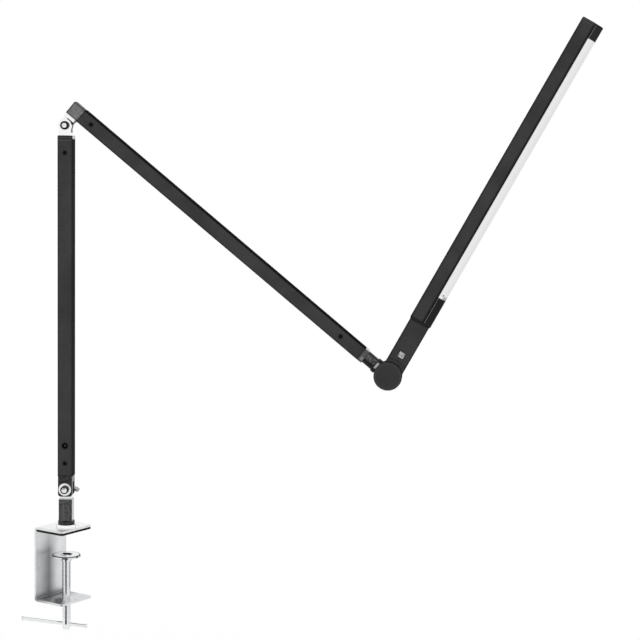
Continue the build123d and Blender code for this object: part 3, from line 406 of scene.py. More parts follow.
def dark_plate(name, colour, gloss, bright=None, sides=None):
    """Black chrome: cloudy stains and pale streaks up and down; its dark tone is in part a painted dark
    reflection.

    A bright pair (colour, height) leaves the metal bare above that height, and a pair of sides (colour, half)
    paints the two side faces paler as a painted reflection, a half width from the middle of the arms' plane."""
    finish = Finish(name, colour)
    eased, edge = finish.rounded(0.35)
    stain = finish.noise(3.0, 4.0, 0.7)
    streaks = finish.noise(2.3, 2.0, 0.55, finish.mapped((1.0, 1.0, 0.08)))
    finish.vary(stain.ramp(0.30, 0.66), 0.45, 1.7)
    finish.tint(streaks.ramp(0.50, 0.66) * 0.6, 2.2)
    # Painted reflection: dark lines along the edges.
    finish.tint(edge * 0.4, 0.5)
    if sides is not None:
        # Painted reflection: the two side faces are made paler.
        off = finish.math("ABSOLUTE", finish.axes(ARM_PLANE)[0])
        finish.paint(off.ramp(sides[1] - 0.2, sides[1] - 0.1), sides[0])
    if bright is not None:
        bare = finish.axes(LAMP)[2].ramp(bright[1] - 0.2, bright[1] + 0.2)
        finish.paint(bare, bright[0])
    rough = gloss + 0.16 * (stain - 0.5) + 0.08 * (streaks - 0.5)
    return finish.shade(rough, finish.bump(stain * 0.5 + streaks * 0.5, 0.010, eased), metallic=1.0)


def wrist_plate(name, colour, bare):
    """Black chrome of the wrist's yoke: cloudy stains, blacker below and near its top with painted shade, and a
    painted highlight on its collar.
    """
    finish = Finish(name, colour)
    eased, edge = finish.rounded(0.5)
    stain = finish.noise(2.6, 4.0, 0.7)
    x, y, z = finish.axes(WRIST)
    collar = x.ramp(COLLAR - 0.3, COLLAR + 0.3)
    flat = x.near(COLLAR_HIGHLIGHT, 1.3) * z.near(0.7, 3.6) * y.ramp(-4, -5)
    finish.vary(stain.ramp(0.36, 0.64), 0.4, 2.2)
    # Painted shade: darker below, and in a band near the top.
    finish.tint(z.ramp(1.0, -2.5) * 0.8, 0.22)
    finish.tint(z.ramp(5.2, 6.6) * 0.7, 0.25)
    finish.tint(collar * 0.6, 0.35)
    # Painted shade: dark lines along the edges.
    finish.tint(edge * 0.5, 0.2)
    # Painted highlight: a pale patch on the collar's front.
    finish.paint(flat * 0.9, finish.mix(stain, scaled(bare, 0.7), scaled(bare, 1.2)))
    rough = 0.24 + 0.16 * (stain - 0.5)
    return finish.shade(rough, finish.bump(stain, 0.010, eased), metallic=1.0)


def satin_plate(name, colour, gloss, outline=0.18, elbow=None, step=None):
    """Bead-blasted plate: fine dimples, cloudy tone and dark edge lines of painted shade.

    A step is the colour of a painted reflection on the wrist step's upper face and of a painted highlight spot on
    its front. An elbow is the colour of the elbow block's bare slab; the block has dark rims of painted shade, a
    matt top darkened with painted shade, a tongue darkened with a painted shadow and a painted dark corner."""
    finish = Finish(name, colour)
    eased, edge = finish.rounded(1.1)
    dimple = finish.cells(0.5)
    cloud = finish.noise(2.2, 4.0, 0.7)
    finish.vary(cloud.ramp(0.3, 0.7), 0.66, 1.32)
    # Painted shade: dark lines along the edges.
    finish.tint(edge * 0.9, outline)
    metal = 1.0
    if step is not None:
        x, y, z = finish.axes(WRIST)
        painted_highlight_spot = x.near(3.6, 1.6) * z.near(-3.6, 1.8) * y.ramp(-6, -7)
        # Painted highlight: a pale spot on the step's front.
        finish.paint(painted_highlight_spot * 0.14, step)
        # Painted reflection: the step's upper face is made pale.
        finish.paint(z.ramp(STEP_HALF - 0.3, STEP_HALF - 0.1), step)
    if elbow is not None:
        x, _, z = finish.axes(ELBOW)
        painted_top_shade = z.ramp(BLOCK_TOP - 1.3, BLOCK_TOP - 0.9)
        rim = painted_top_shade + z.ramp(SLAB_TOP + 1.0, SLAB_TOP + 0.6) + x.ramp(BLOCK_BACK + 1.4, BLOCK_BACK + 1.0)
        metal = 1.0 - 0.95 * painted_top_shade
        # Painted shade: dark rims along the block's top, the slab's top and the back, and a blacker top face.
        finish.tint(rim.clamped() * 0.9, 0.12)
        finish.paint(z.ramp(SLAB_TOP + 0.1, SLAB_TOP - 0.1), elbow)
        # Painted shadow on the tongue in the gap below the slab, and painted shade at the slab's corner.
        gap_shadow = x.ramp(-4.0, -2.5) * z.ramp(TONGUE_TOP + 0.1, TONGUE_TOP - 0.1)
        corner = x.ramp(SLAB_END - 0.1, SLAB_END + 0.1) * z.ramp(SLAB_TOP + 1.6, SLAB_TOP + 1.4)
        finish.tint((gap_shadow + corner).clamped(), 0.14)
    rough = gloss + 0.14 * (cloud - 0.5)
    return finish.shade(rough, finish.bump(dimple, 0.018, eased), metallic=metal, specular_ior_level=0.05)


def bolt_steel(name, colour, core, matrix, reach):
    """Blackened cap screw with bare metal in its key socket, out to a reach from its axis."""
    finish = Finish(name, colour)
    x, _, z = finish.axes(matrix)
    bare = finish.radius(x, z).ramp(reach + 0.1, reach - 0.1)
    oxide = finish.noise(0.9, 3.0, 0.6)
    finish.vary(oxide.ramp(0.35, 0.7), 0.7, 1.5)
    finish.paint(bare, finish.mix(oxide.ramp(0.3, 0.7), scaled(core, 0.7), core))
    rough = 0.34 + 0.15 * (oxide - 0.5) - 0.1 * bare
    return finish.shade(rough, finish.bump(oxide, 0.010), metallic=1.0)


def opal_dome(name, colour):
    """Opal extrusion: faint draw lines, and painted light: an even emission, so that it glows a little.

    Its lower corner is greyer, with a dark pip beside it."""
    finish = Finish(name, colour)
    cloud = finish.noise(30, 3.0, 0.5)
    draw = finish.noise(1.4, 2.0, 0.5)
    x, _, z = finish.axes(HEAD)
    corner = x.ramp(GLASS_START + 5.5, GLASS_START + 1.5) * z.ramp(LIP - 4, LIP - 6)
    pip = x.near(GLASS_START + 4.3, 0.8) * z.near(LIP - 4.2, 0.8)
    dim = (0.55 * corner + 0.9 * pip).clamped()
    finish.vary(cloud, 0.975, 1.02)
    finish.paint(dim, grey(0.03))
    rough = 0.42 + 0.08 * (cloud - 0.5) + 0.05 * (draw - 0.5)
    normal = finish.bump(draw, 0.006)
    # Painted light: an even glow, dimmed at the greyer corner and the pip.
    glow = finish.mix(dim, grey(1.0), grey(0.03))
    return finish.shade(rough, normal, specular_ior_level=0.2, emission_color=glow, emission_strength=0.58)


def touch_plate(name, colour):
    """Light grey key: mottled film with a paler rim."""
    finish = Finish(name, colour)
    eased, edge = finish.rounded(0.6)
    mottle = finish.noise(1.6, 3.0, 0.6)
    finish.vary(mottle.ramp(0.38, 0.62), 0.6, 1.5)
    finish.tint(edge * 0.5, 0.8)
    rough = 0.40 + 0.15 * (mottle - 0.5)
    return finish.shade(rough, finish.bump(mottle, 0.015, eased), specular_ior_level=0.3)


def soft_sheet(name, colour, gloss):
    """Rubber, fibre or wire sleeve: dusty tone and a fine matt tooth."""
    finish = Finish(name, colour)
    eased, edge = finish.rounded(0.25)
    tooth = finish.noise(0.35, 3.0, 0.7)
    dust = finish.noise(5, 4.0, 0.6)
    finish.tint(dust.ramp(0.35, 0.7), 1.6)
    finish.tint(edge * 0.2, 1.6)
    rough = gloss + 0.12 * (dust - 0.5)
    return finish.shade(rough, finish.bump(tooth, 0.03, eased), specular_ior_level=0.06)


def circuit_face(name, colour, gloss):
    """Circuit board or a part on one: a printed grid under a glossy mask."""
    finish = Finish(name, colour)
    weave = finish.noise(0.6, 2.0)
    cells = finish.cells(2.2).ramp(0.28, 0.12)
    finish.tint(cells * 0.5, 0.6)
    rough = gloss + 0.2 * (weave - 0.5)
    return finish.shade(rough, finish.bump(weave, 0.01))


class LampFinishes(bpy.types.PropertyGroup):
    """Colours of the lamp's finishes."""

    coat: bpy.props.FloatVectorProperty(
        name="Powder coat", description="Arms, bracket and lamp head", subtype="COLOR",
        default=(0.036, 0.036, 0.037), min=0.0, max=1.0,
    )
    plastic: bpy.props.FloatVectorProperty(
        name="Black plastic", description="End caps, hinge discs and power inlet", subtype="COLOR",
        default=(0.024, 0.024, 0.025), min=0.0, max=1.0,
    )
    chrome: bpy.props.FloatVectorProperty(
        name="Bright chrome", description="Clamp, screw and elbow", subtype="COLOR",
        default=(0.82, 0.83, 0.84), min=0.0, max=1.0,
    )
    # The dark chrome's tone stands in part for a painted dark reflection.
    dark_chrome: bpy.props.FloatVectorProperty(
        name="Dark chrome", description="Post, shoulder and wrist", subtype="COLOR",
        default=(0.060, 0.060, 0.061), min=0.0, max=1.0,
    )
    satin: bpy.props.FloatVectorProperty(
        name="Satin plate", description="Elbow block, wrist step and wing nut", subtype="COLOR",
        default=(0.18, 0.18, 0.18), min=0.0, max=1.0,
    )
    steel: bpy.props.FloatVectorProperty(
        name="Screw steel", description="Socket screws", subtype="COLOR",
        default=(0.013, 0.013, 0.014), min=0.0, max=1.0,
    )
    opal: bpy.props.FloatVectorProperty(
        name="Opal", description="Diffuser", subtype="COLOR",
        default=(0.21, 0.21, 0.21), min=0.0, max=1.0,
    )
    key: bpy.props.FloatVectorProperty(
        name="Touch key", description="Touch key in the bracket", subtype="COLOR",
        default=(0.28, 0.28, 0.28), min=0.0, max=1.0,
    )
    rubber: bpy.props.FloatVectorProperty(
        name="Jaw rubber", description="Pad under the clamp's upper plate", subtype="COLOR",
        default=(0.008, 0.008, 0.008), min=0.0, max=1.0,
    )


class LampSizes(bpy.types.PropertyGroup):
    """Sizes of the small forms that the looks add."""

    thread_pitch: bpy.props.FloatProperty(
        name="Thread pitch", description="Rise of the clamp screw's thread in a turn", unit="LENGTH",
        default=1.5 * MM, min=0.5 * MM, max=4 * MM,
    )
    thread_depth: bpy.props.FloatProperty(
        name="Thread depth", description="Crest to root of the clamp screw's thread", unit="LENGTH",
        default=0.25 * MM, min=0.1 * MM, max=1.5 * MM,
    )
    dish_depth: bpy.props.FloatProperty(
        name="Dish depth", description="Hollow in the pressure pad's face", unit="LENGTH",
        default=1.5 * MM, min=0.1 * MM, max=1.8 * MM,
    )


class LampStage(bpy.types.PropertyGroup):
    """Sizes of the studio round the lamp."""

    floor_gap: bpy.props.FloatProperty(
        name="Floor gap", description="Floor below the clamp screw at rest, clear of the lamp in every pose",
        unit="LENGTH", default=0.392, min=0.0,
    )
    floor_size: bpy.props.FloatProperty(
        name="Floor size", description="Side of the floor", unit="LENGTH", default=30.0, min=1.0,
    )
    surround: bpy.props.FloatProperty(
        name="Surround", description="Strength of the even light from all sides",
        default=0.36, min=0.0, max=1.0,
    )
    key_power: bpy.props.FloatProperty(
        name="Key", description="Soft light in front, on the left", unit="POWER", default=50.0, min=0.0,
    )
    fill_power: bpy.props.FloatProperty(
        name="Fill", description="Soft light in front, on the right", unit="POWER", default=9.0, min=0.0,
    )
    top_power: bpy.props.FloatProperty(
        name="Top", description="Soft light above", unit="POWER", default=3.0, min=0.0,
    )
    lens: bpy.props.FloatProperty(
        name="Lens", description="Focal length of the camera", subtype="DISTANCE_CAMERA",
        default=101.25, min=1.0,
    )
    distance: bpy.props.FloatProperty(
        name="Camera distance", description="Camera from its target", unit="LENGTH", default=2.0, min=0.1,
    )
    azimuth: bpy.props.FloatProperty(
        name="Azimuth", description="Camera's bearing from -Y", subtype="ANGLE", default=math.radians(34.0),
    )
    elevation: bpy.props.FloatProperty(
        name="Elevation", description="Camera above the horizon", subtype="ANGLE", default=math.radians(6.0),
    )
    roll: bpy.props.FloatProperty(
        name="Roll", description="Camera turned about its own axis", subtype="ANGLE",
        default=math.radians(0.85),
    )
    target: bpy.props.FloatVectorProperty(
        name="Target", description="Point in the middle of the picture", subtype="TRANSLATION", unit="LENGTH",
        default=(0.24714, 0.14264, 0.24686),
    )


def put(points, matrix):
    """Grid of points in millimetres in a group's frame, as metres in the lamp's frame."""
    return (points * MM) @ matrix[:3, :3].T + matrix[:3, 3]


def quads(rows, columns):
    """Corner numbers of the faces of a grid whose last column joins its first."""
    row = np.arange(rows - 1)[:, None] * columns
    column = np.arange(columns)[None, :]
    beside = (column + 1) % columns
    above = row + columns
    return np.stack([row + column, row + beside, above + beside, above + column], -1).reshape(-1, 4)


def build(name, grids, matrix, body, slot, nodes=(), finish=None):
    """One closed piece from grids of points that meet along their edges, riding on a body."""
    verts, faces, used = [], [], 0
    for points in grids:
        rows, columns = points.shape[:2]
        verts.append(put(points.reshape(-1, 3), matrix))
        faces.append(quads(rows, columns) + used)
        used += rows * columns
    mesh = bpy.data.meshes.new(name)
    mesh.from_pydata(np.concatenate(verts).tolist(), [], np.concatenate(faces).tolist())
    shell = bmesh.new()
    shell.from_mesh(mesh)
    bmesh.ops.remove_doubles(shell, verts=shell.verts, dist=WELD)
    bmesh.ops.dissolve_degenerate(shell, edges=shell.edges, dist=SLIVER)
    bmesh.ops.recalc_face_normals(shell, faces=shell.faces)
    shell.to_mesh(mesh)
    shell.free()
    mesh.polygons.foreach_set("use_smooth", np.ones(len(mesh.polygons), dtype=bool))
    mesh.set_sharp_from_angle(angle=SHARP)
    mesh.materials.append(TABLE[finish or slot])
    piece = bpy.data.objects.new(name, mesh)
    bpy.context.scene.collection.objects.link(piece)
    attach(piece, body)
    if nodes:
        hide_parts(*nodes)


def lathe(profile, columns, axis="z", radius_of=None):
    """Profile rows (radius, height) swept round an axis: x = r cos a, y = r sin a, z = h.

    radius_of(row radius, angles) may change a row's radius with the angle."""
    profile = np.asarray(profile, float)
    angle = np.arange(columns) * (2 * math.pi / columns)
    radius = np.repeat(profile[:, :1], columns, axis=1)
    if radius_of is not None:
        radius = radius_of(radius, angle[None, :])
    across, along = radius * np.cos(angle), radius * np.sin(angle)
    height = np.repeat(profile[:, 1:2], columns, axis=1)
    order = {"z": (across, along, height), "x": (height, across, along), "y": (along, height, across)}[axis]
    return np.stack(order, axis=-1)


def arc(centre, radius, start, end, count):
    """Points (a, b) on an arc between two angles in degrees."""
    angle = np.radians(np.linspace(start, end, count))
    return np.stack([centre[0] + radius * np.cos(angle), centre[1] + radius * np.sin(angle)], axis=-1)


def strip(section, start, end):
    """Closed section (y, z) carried straight along X, with both ends drawn in to a point."""
    section = np.asarray(section, float)
    middle = section.mean(axis=0)
    rows = [(start, 0.0), (start, 1.0), (end, 1.0), (end, 0.0)]
    places = [np.full(len(section), x) for x, _ in rows]
    sections = [middle + (section - middle) * size for _, size in rows]
    return np.stack([np.column_stack(pair) for pair in zip(places, sections)])


# Nodes whose finish is their own, where the rest take the one named like their slot.
OWN_FINISH = {
    "clamp_bracket": "clamp_satin",
    "swivel_post": "post_chrome",
    "swivel_flange": "flange_chrome",
    "swivel_washer": "washer_chrome",
    "shoulder_fork": "flange_chrome",
    "elbow_fork": "elbow_chrome",
    "head_channel": "head_coat",
    "dc_jack": "jack_plastic",
    "wrist_plug": "step_satin",
    "wrist_yoke": "wrist_chrome",
    "elbow_block": "elbow_satin",
    "wing_nut": "wing_satin",
    "shoulder_bolt": "shoulder_bolt_steel",
    "elbow_bolt": "elbow_bolt_steel",
    "lower_arm_tube": "lower_coat",
    "upper_arm_tube": "upper_coat",
    "hinge_cap_front": "disc_plastic",
    "hinge_cap_back": "disc_plastic",
    "bottom_cap": "cover_plastic",
    "top_cap": "top_plastic",
    "dc_jack_pin": "dull_pin",
}


def finish_table(colours):
    """Materials of the record's slots and of single nodes, made from the panel's colours."""
    def rgba(part, factor=1.0):
        """A colour of the panel, made darker or lighter."""
        return scaled(tuple(getattr(colours, part)), factor)

    chrome, dark, satin, steel = rgba("chrome"), rgba("dark_chrome"), rgba("satin"), rgba("steel")
    coat, lid, bare = rgba("coat"), rgba("coat", 1.3), grey(0.97)
    return {
        "black_coat": powder_coat("black_powder_coat", coat),
        "head_coat": powder_coat("black_powder_coat_head", coat, seam=HEAD_SEAM),
        "upper_coat": powder_coat("black_powder_coat_upper", coat, painted_top_shade=TUBE_TOP_SHADE),
        "lower_coat": powder_coat("black_powder_coat_lower", coat, seam=TUBE_SEAM),
        "black_plastic": moulded_plastic("black_moulding", rgba("plastic", 0.7)),
        "disc_plastic": moulded_plastic("black_disc_moulding", rgba("plastic", 1.2), turned_ring=13.9),
        "cover_plastic": moulded_plastic("black_cover_moulding", rgba("plastic", 0.55)),
        "top_plastic": moulded_plastic("black_top_moulding", rgba("plastic", 0.85), plate=(LIP, lid)),
        "jack_plastic": moulded_plastic("black_inlet_moulding", rgba("plastic", 0.3)),
        "bright_chrome": chrome_plate("bright_chrome_plate", chrome, 0.07, 0.12),
        "screw_chrome": chrome_plate("screw_chrome_plate", chrome, 0.06, 0.08, ease=0.12),
        "clamp_satin": clamp_plate("clamp_satin_plate", scaled(chrome, 0.96)),
        "dark_chrome": dark_plate("dark_chrome_plate", dark, 0.20),
        # The post's paler side faces are a painted reflection.
        "post_chrome": dark_plate(
            "post_chrome_plate", dark, 0.20,
            bright=(chrome, POST_TOP), sides=(scaled(chrome, 0.55), POST_HALF),
        ),
        "flange_chrome": dark_plate("flange_chrome_plate", scaled(dark, 0.52), 0.22),
        "washer_chrome": chrome_plate("washer_chrome_plate", bare, 0.05, 0.0, outline=0.15),
        "elbow_chrome": chrome_plate("elbow_chrome_plate", grey(0.93), 0.07, 0.06, dull_below=FORK_STEM),
        "pad_chrome": chrome_plate("pad_chrome_plate", chrome, 0.07, 0.12, pad=True),
        "wrist_chrome": wrist_plate("wrist_chrome_plate", dark, grey(0.42)),
        "satin_metal": satin_plate("satin_plate", scaled(satin, 0.62), 0.36),
        "step_satin": satin_plate("step_satin_plate", scaled(satin, 0.55), 0.36, step=bare),
        "elbow_satin": satin_plate("elbow_satin_plate", satin, 0.36, outline=0.15, elbow=bare),
        "wing_satin": satin_plate("wing_satin_plate", scaled(satin, 1.9), 0.30),
        "screw_steel": chrome_plate("blackened_screw_steel", steel, 0.40, 0.40),
        "shoulder_bolt_steel": bolt_steel("shoulder_bolt_steel", steel, bare, SHOULDER, reach=3.1),
        "elbow_bolt_steel": bolt_steel("elbow_bolt_steel", steel, bare, ELBOW, reach=2.7),
        "opal": opal_dome("opal_diffuser", rgba("opal")),
        "key_grey": touch_plate("touch_key_film", rgba("key")),
        "pad_rubber": soft_sheet("jaw_rubber", rgba("rubber"), 0.72),
        "fibre": soft_sheet("friction_fibre", (0.10, 0.09, 0.08, 1.0), 0.8),
        "wire_black": soft_sheet("wire_sleeve", grey(0.03), 0.6),
        "board": circuit_face("white_solder_mask", (0.80, 0.81, 0.79, 1.0), 0.45),
        "board_parts": circuit_face("driver_moulding", grey(0.06), 0.45),
        "led_yellow": circuit_face("phosphor_face", (0.85, 0.74, 0.22, 1.0), 0.35),
        "contact": chrome_plate("nickel_pin", (0.72, 0.70, 0.66, 1.0), 0.2, 0.2),
        "dull_pin": chrome_plate("dull_pin", grey(0.09), 0.4, 0.2),
        "bead_silver": satin_plate("bead_silver", scaled(satin, 1.2), 0.36, outline=0.8),
    }


class LAMP_OT_finish_solids(bpy.types.Operator):
    """Gives every solid of the lamp the finish of its material slot"""

    bl_idname = "lamp.finish_solids"
    bl_label = "Finish the solids"

    def execute(self, context):
        TABLE.update(finish_table(context.scene.lamp_finishes))
        for name, node in frame["nodes"].items():
            node.data.materials.clear()
            node.data.materials.append(TABLE[OWN_FINISH.get(name, SLOT_OF[name])])
        return {"FINISHED"}


class LAMP_OT_clamp_screw(bpy.types.Operator):
    """Makes the threaded clamp screw with its cross hole"""

    bl_idname = "lamp.clamp_screw"
    bl_label = "Clamp screw"

    def execute(self, context):
        sizes = context.scene.lamp_sizes
        radius, pitch, depth = 4.5, sizes.thread_pitch / MM, sizes.thread_depth / MM
        top, tail, corner = -30.05, -114.3, 1.0  # the rod's ends, and the radius at its lower corner
        hole, reach = 2.05, 3.2  # radius of the cross hole, and half the height of the band round it
        half, steps, rings, bore_rows = 24, 8, 7, 5  # columns in half a turn, and rows round the hole
        rows_a_turn, steepness, root = 16, 8.0, 0.2  # rows, and the form of the thread's flanks and roots
        run_in, plain, run_out = 1.5, 2.0, 2.0  # where the thread fades, from the top and from the band
        low = BAR_HEIGHT + reach
        angle = (np.arange(2 * half) - half / 2) * (math.pi / half)

        # Thread: radius = outer radius less the depth of narrow roots in a triangle wave of
        # z / pitch - angle / turn, faded out at both ends of the rod.
        z = np.linspace(top, low, int((top - low) / pitch * rows_a_turn))[:, None]
        phase = (z / pitch - angle[None, :] / (2 * math.pi)) % 1.0
        ridge = np.clip(steepness * (1.0 - np.abs(2.0 * phase - 1.0)) - root, 0.0, 1.0)
        fade = np.clip((top - z) / run_in, 0.0, 1.0) * np.clip((z - low - plain) / run_out, 0.0, 1.0)
        r = radius - depth * (1.0 - ridge) * fade
        thread = np.stack([r * np.cos(angle), r * np.sin(angle), np.repeat(z, 2 * half, axis=1)], axis=-1)

        # Band with the cross hole: on the unrolled cylinder, straight lines run from the hole's circle
        # to a rectangle a half turn wide, and two such patches close the ring.
        side = np.linspace(-1.0, 1.0, half + 1)[:-1]
        rise = np.linspace(-1.0, 1.0, steps + 1)[:-1]
        edge_a = np.concatenate([side, np.ones(steps), -side, -np.ones(steps)])
        edge_b = np.concatenate([-np.ones(half), rise, np.ones(half), -rise])
        polar = np.arctan2(edge_b, edge_a)
        inner_a = np.arcsin(hole * np.cos(polar) / radius)
        inner_b = hole * np.sin(polar)
        blend = np.linspace(0.0, 1.0, rings)[:, None]
        a = inner_a + (edge_a * math.pi / 2 - inner_a) * blend
        b = BAR_HEIGHT + inner_b + (edge_b * reach - inner_b) * blend
        patches = [
            np.stack([radius * np.cos(a + turn), radius * np.sin(a + turn), b], axis=-1)
            for turn in (0.0, math.pi)
        ]
        x = radius * np.cos(inner_a) * np.linspace(1.0, -1.0, bore_rows)[:, None]
        y = np.repeat(hole * np.cos(polar)[None, :], bore_rows, axis=0)
        bore = np.stack([x, y, np.repeat((BAR_HEIGHT + inner_b)[None, :], bore_rows, axis=0)], axis=-1)

        rounded = arc((radius - corner, tail + corner), corner, 0, -90, 6)
        foot = lathe([(radius, BAR_HEIGHT - reach), *rounded, (0.0, tail)], 2 * half)
        head = lathe([(0.0, top), (radius, top)], 2 * half)
        grids = [head, thread, *patches, bore, foot]
        build("clamp_screw_threaded", grids, SCREW, "screw", "bright_chrome", ["clamp_screw"], "screw_chrome")
        return {"FINISHED"}


class LAMP_OT_tommy_bar(bpy.types.Operator):
    """Makes the tommy bar with its rounded upset ends"""

    bl_idname = "lamp.tommy_bar"
    bl_label = "Tommy bar"

    def execute(self, context):
        start, end = -57.8, 26.2
        knob, rod, long = 2.6, 2.0, 2.5
        outer, inner = 1.0, 0.8  # radii at a knob's two corners
        low = [(0.0, start), *arc((start + outer, knob - outer), outer, 180, 90, 6)[:, ::-1]]
        low += [*arc((start + long - inner, knob - inner), inner, 90, 20, 5)[:, ::-1]]
        low += [(rod, start + long + 0.5)]
        low = np.array(low)
        high = low[::-1] * (1.0, -1.0) + (0.0, start + end)
        grid = lathe(np.concatenate([low, high]), 32, axis="x") + (0.0, 0.0, BAR_HEIGHT)
        build("tommy_bar", [grid], SCREW, "bar", "bright_chrome", ["t_bar"])
        return {"FINISHED"}


class LAMP_OT_pressure_pad(bpy.types.Operator):
    """Makes the dished pressure pad with the peened tip of the screw in its middle"""

    bl_idname = "lamp.pressure_pad"
    bl_label = "Pressure pad"

    def execute(self, context):
        dish = context.scene.lamp_sizes.dish_depth / MM
        face, under, hub = -27.5, -30.0, -34.5  # heights of the rim's two faces and of the hub's end
        rim, neck, bore = 16.0, 5.8, 4.55
        floor = face - dish
        profile = [(0.0, floor + 0.6), (1.6, floor + 0.55), (2.8, floor + 0.3), (3.3, floor), (5.4, floor)]
        wall = np.linspace(0.0, 1.0, 8)
        profile += [*np.column_stack([5.6 + 1.9 * wall, floor + dish * wall**2 * (3 - 2 * wall)])]
        profile += [*arc((rim - 0.5, face - 0.5), 0.5, 90, 0, 6)]
        profile += [*arc((rim - 0.3, under + 0.3), 0.3, 0, -90, 5)]
        profile += [(neck + 1.2, under), (neck + 0.4, under - 0.4), (neck, under - 1.0)]
        profile += [*arc((neck - 0.4, hub + 0.4), 0.4, 0, -90, 4), (bore, hub), (bore, under), (0.0, under)]
        grid = lathe(profile, 72)
        build("pressure_pad_dished", [grid], LAMP, "pad", "bright_chrome", ["pressure_pad"], "pad_chrome")
        return {"FINISHED"}


class LAMP_OT_hinge_bolts(bpy.types.Operator):
    """Makes the knurled socket screws of the shoulder and the elbow"""

    bl_idname = "lamp.hinge_bolts"
    bl_label = "Hinge bolts"

    def execute(self, context):
        shank, key, high, sunk = 2.5, 2.0, 4.0, 2.4  # radii, the head's height and the socket's depth
        ribs, rib_depth = 30, 0.10

        def shaped(radius, angle):
            """Knurl on the head's side, and a hexagon where the profile marks the key socket."""
            dents = rib_depth * (0.5 - 0.5 * np.cos(ribs * angle))
            corner = (angle + math.pi / 6) % (math.pi / 3) - math.pi / 6
            knurled = np.where(np.isclose(radius, head), radius - dents, radius)
            return np.where(np.isclose(radius, key), key / np.cos(corner), knurled)

        for name, matrix, body, head, seat, end in (
            ("shoulder_bolt", SHOULDER, "lower_arm", 4.6, -8.83, 15.3),
            ("elbow_bolt", ELBOW, "upper_arm", 4.8, -7.83, 13.8),
        ):
            front = seat - high
            profile = [(0.0, end), (shank - 0.4, end), (shank, end - 0.4), (shank, seat), (head - 0.15, seat)]
            profile += [(head, seat - 0.2), (head, seat - 1.6), (head, front + 0.7)]
            profile += [(head - 0.15, front + 0.45), (head - 0.6, front), (key + 0.55, front)]
            profile += [(key, front + 0.25), (key, front + sunk)]
            profile += [(0.9, front + sunk), (0.0, front + sunk + 0.5)]
            grid = lathe(profile, 180, "y", shaped)
            build(f"{name}_knurled", [grid], matrix, body, "screw_steel", [name], OWN_FINISH[name])
        return {"FINISHED"}


class LAMP_OT_lip_trim(bpy.types.Operator):
    """Makes black rubber strips along the lamp head's lips as painted shade and pale beads beside its end covers
    as painted highlights
    """

    bl_idname = "lamp.lip_trim"
    bl_label = "Lip seals and beads"

    def execute(self, context):
        start, end = 71.7, 442.3
        shade_strip_radius, highlight_bead_radius = 1.35, 0.45
        # Painted shade: a black rubber strip along each lip.
        shade_strip = arc((10.75, LIP + 0.95), shade_strip_radius, 0, 345, 24)
        # Painted highlight: a pale bead beside each end cover.
        highlight_bead = arc((10.2, LIP - 0.85), highlight_bead_radius, 0, 330, 12)
        for side, name in ((-1.0, "front"), (1.0, "rear")):
            grid = strip(shade_strip * (side, 1.0), start, end)
            build(f"lip_shade_strip_{name}", [grid], HEAD, "head", "pad_rubber")
            for low, high, where in ((start, GLASS_START, "lower"), (GLASS_END, end, "upper")):
                grid = strip(highlight_bead * (side, 1.0), low, high)
                build(f"cover_highlight_bead_{where}_{name}", [grid], HEAD, "head", "satin_metal", finish="bead_silver")
        return {"FINISHED"}


def area_light(name, place, aim, size, power):
    """Square soft light at a place, turned to its aim. Mirrors see the white surround in its stead."""
    lamp = bpy.data.lights.new(name, "AREA")
    lamp.shape = "SQUARE"
    lamp.size = size
    lamp.energy = power
    holder = bpy.data.objects.new(name, lamp)
    holder.location = place
    holder.rotation_euler = (aim - place).to_track_quat("-Z", "Y").to_euler()
    holder.visible_glossy = False
    bpy.context.scene.collection.objects.link(holder)


class Shading(Finish):
    """Nodes of a material or a world of the studio."""

    def __init__(self, owner):
        owner.use_nodes = True
        self.tree = owner.node_tree
        self.tree.nodes.clear()
        self.place = self.node("ShaderNodeTexCoord").outputs["Object"]

    def seen(self):
        """1 where the camera, a mirror or glass looks, and 0 for light on its way to the lamp."""
        path = self.node("ShaderNodeLightPath").outputs
        looked_at = self.math("MAXIMUM", path["Is Camera Ray"], path["Is Glossy Ray"])
        return self.math("MAXIMUM", looked_at, path["Is Transmission Ray"])

    def show(self, factor, low, high, output="ShaderNodeOutputMaterial"):
        """Mix Shader between two nodes, joined to the output."""
        mixed = self.node("ShaderNodeMixShader", {}, {0: factor, 1: low.outputs[0], 2: high.outputs[0]})
        self.node(output, {}, {"Surface": mixed.outputs[0]})


def sheet(name, corners, material):
    """Flat four-sided stage piece through its corners."""
    mesh = bpy.data.meshes.new(name)
    mesh.from_pydata([tuple(corner) for corner in corners], [], [(0, 1, 2, 3)])
    mesh.materials.append(material)
    piece = bpy.data.objects.new(name, mesh)
    bpy.context.scene.collection.objects.link(piece)
    return piece


def mirror_card(name, corners, tone):
    """Card that reflections on its inner side see as a grey of one tone, and that nothing else sees."""
    paint = bpy.data.materials.new(name)
    shading = Shading(paint)
    glow = shading.node("ShaderNodeEmission", {}, {"Color": grey(1.0), "Strength": tone})
    clear = shading.node("ShaderNodeBsdfTransparent")
    inner = shading.node("ShaderNodeNewGeometry").outputs["Backfacing"]
    shading.show(inner, clear, glow)
    card = sheet(name, corners, paint)
    card.visible_camera = card.visible_diffuse = card.visible_shadow = card.visible_transmission = False


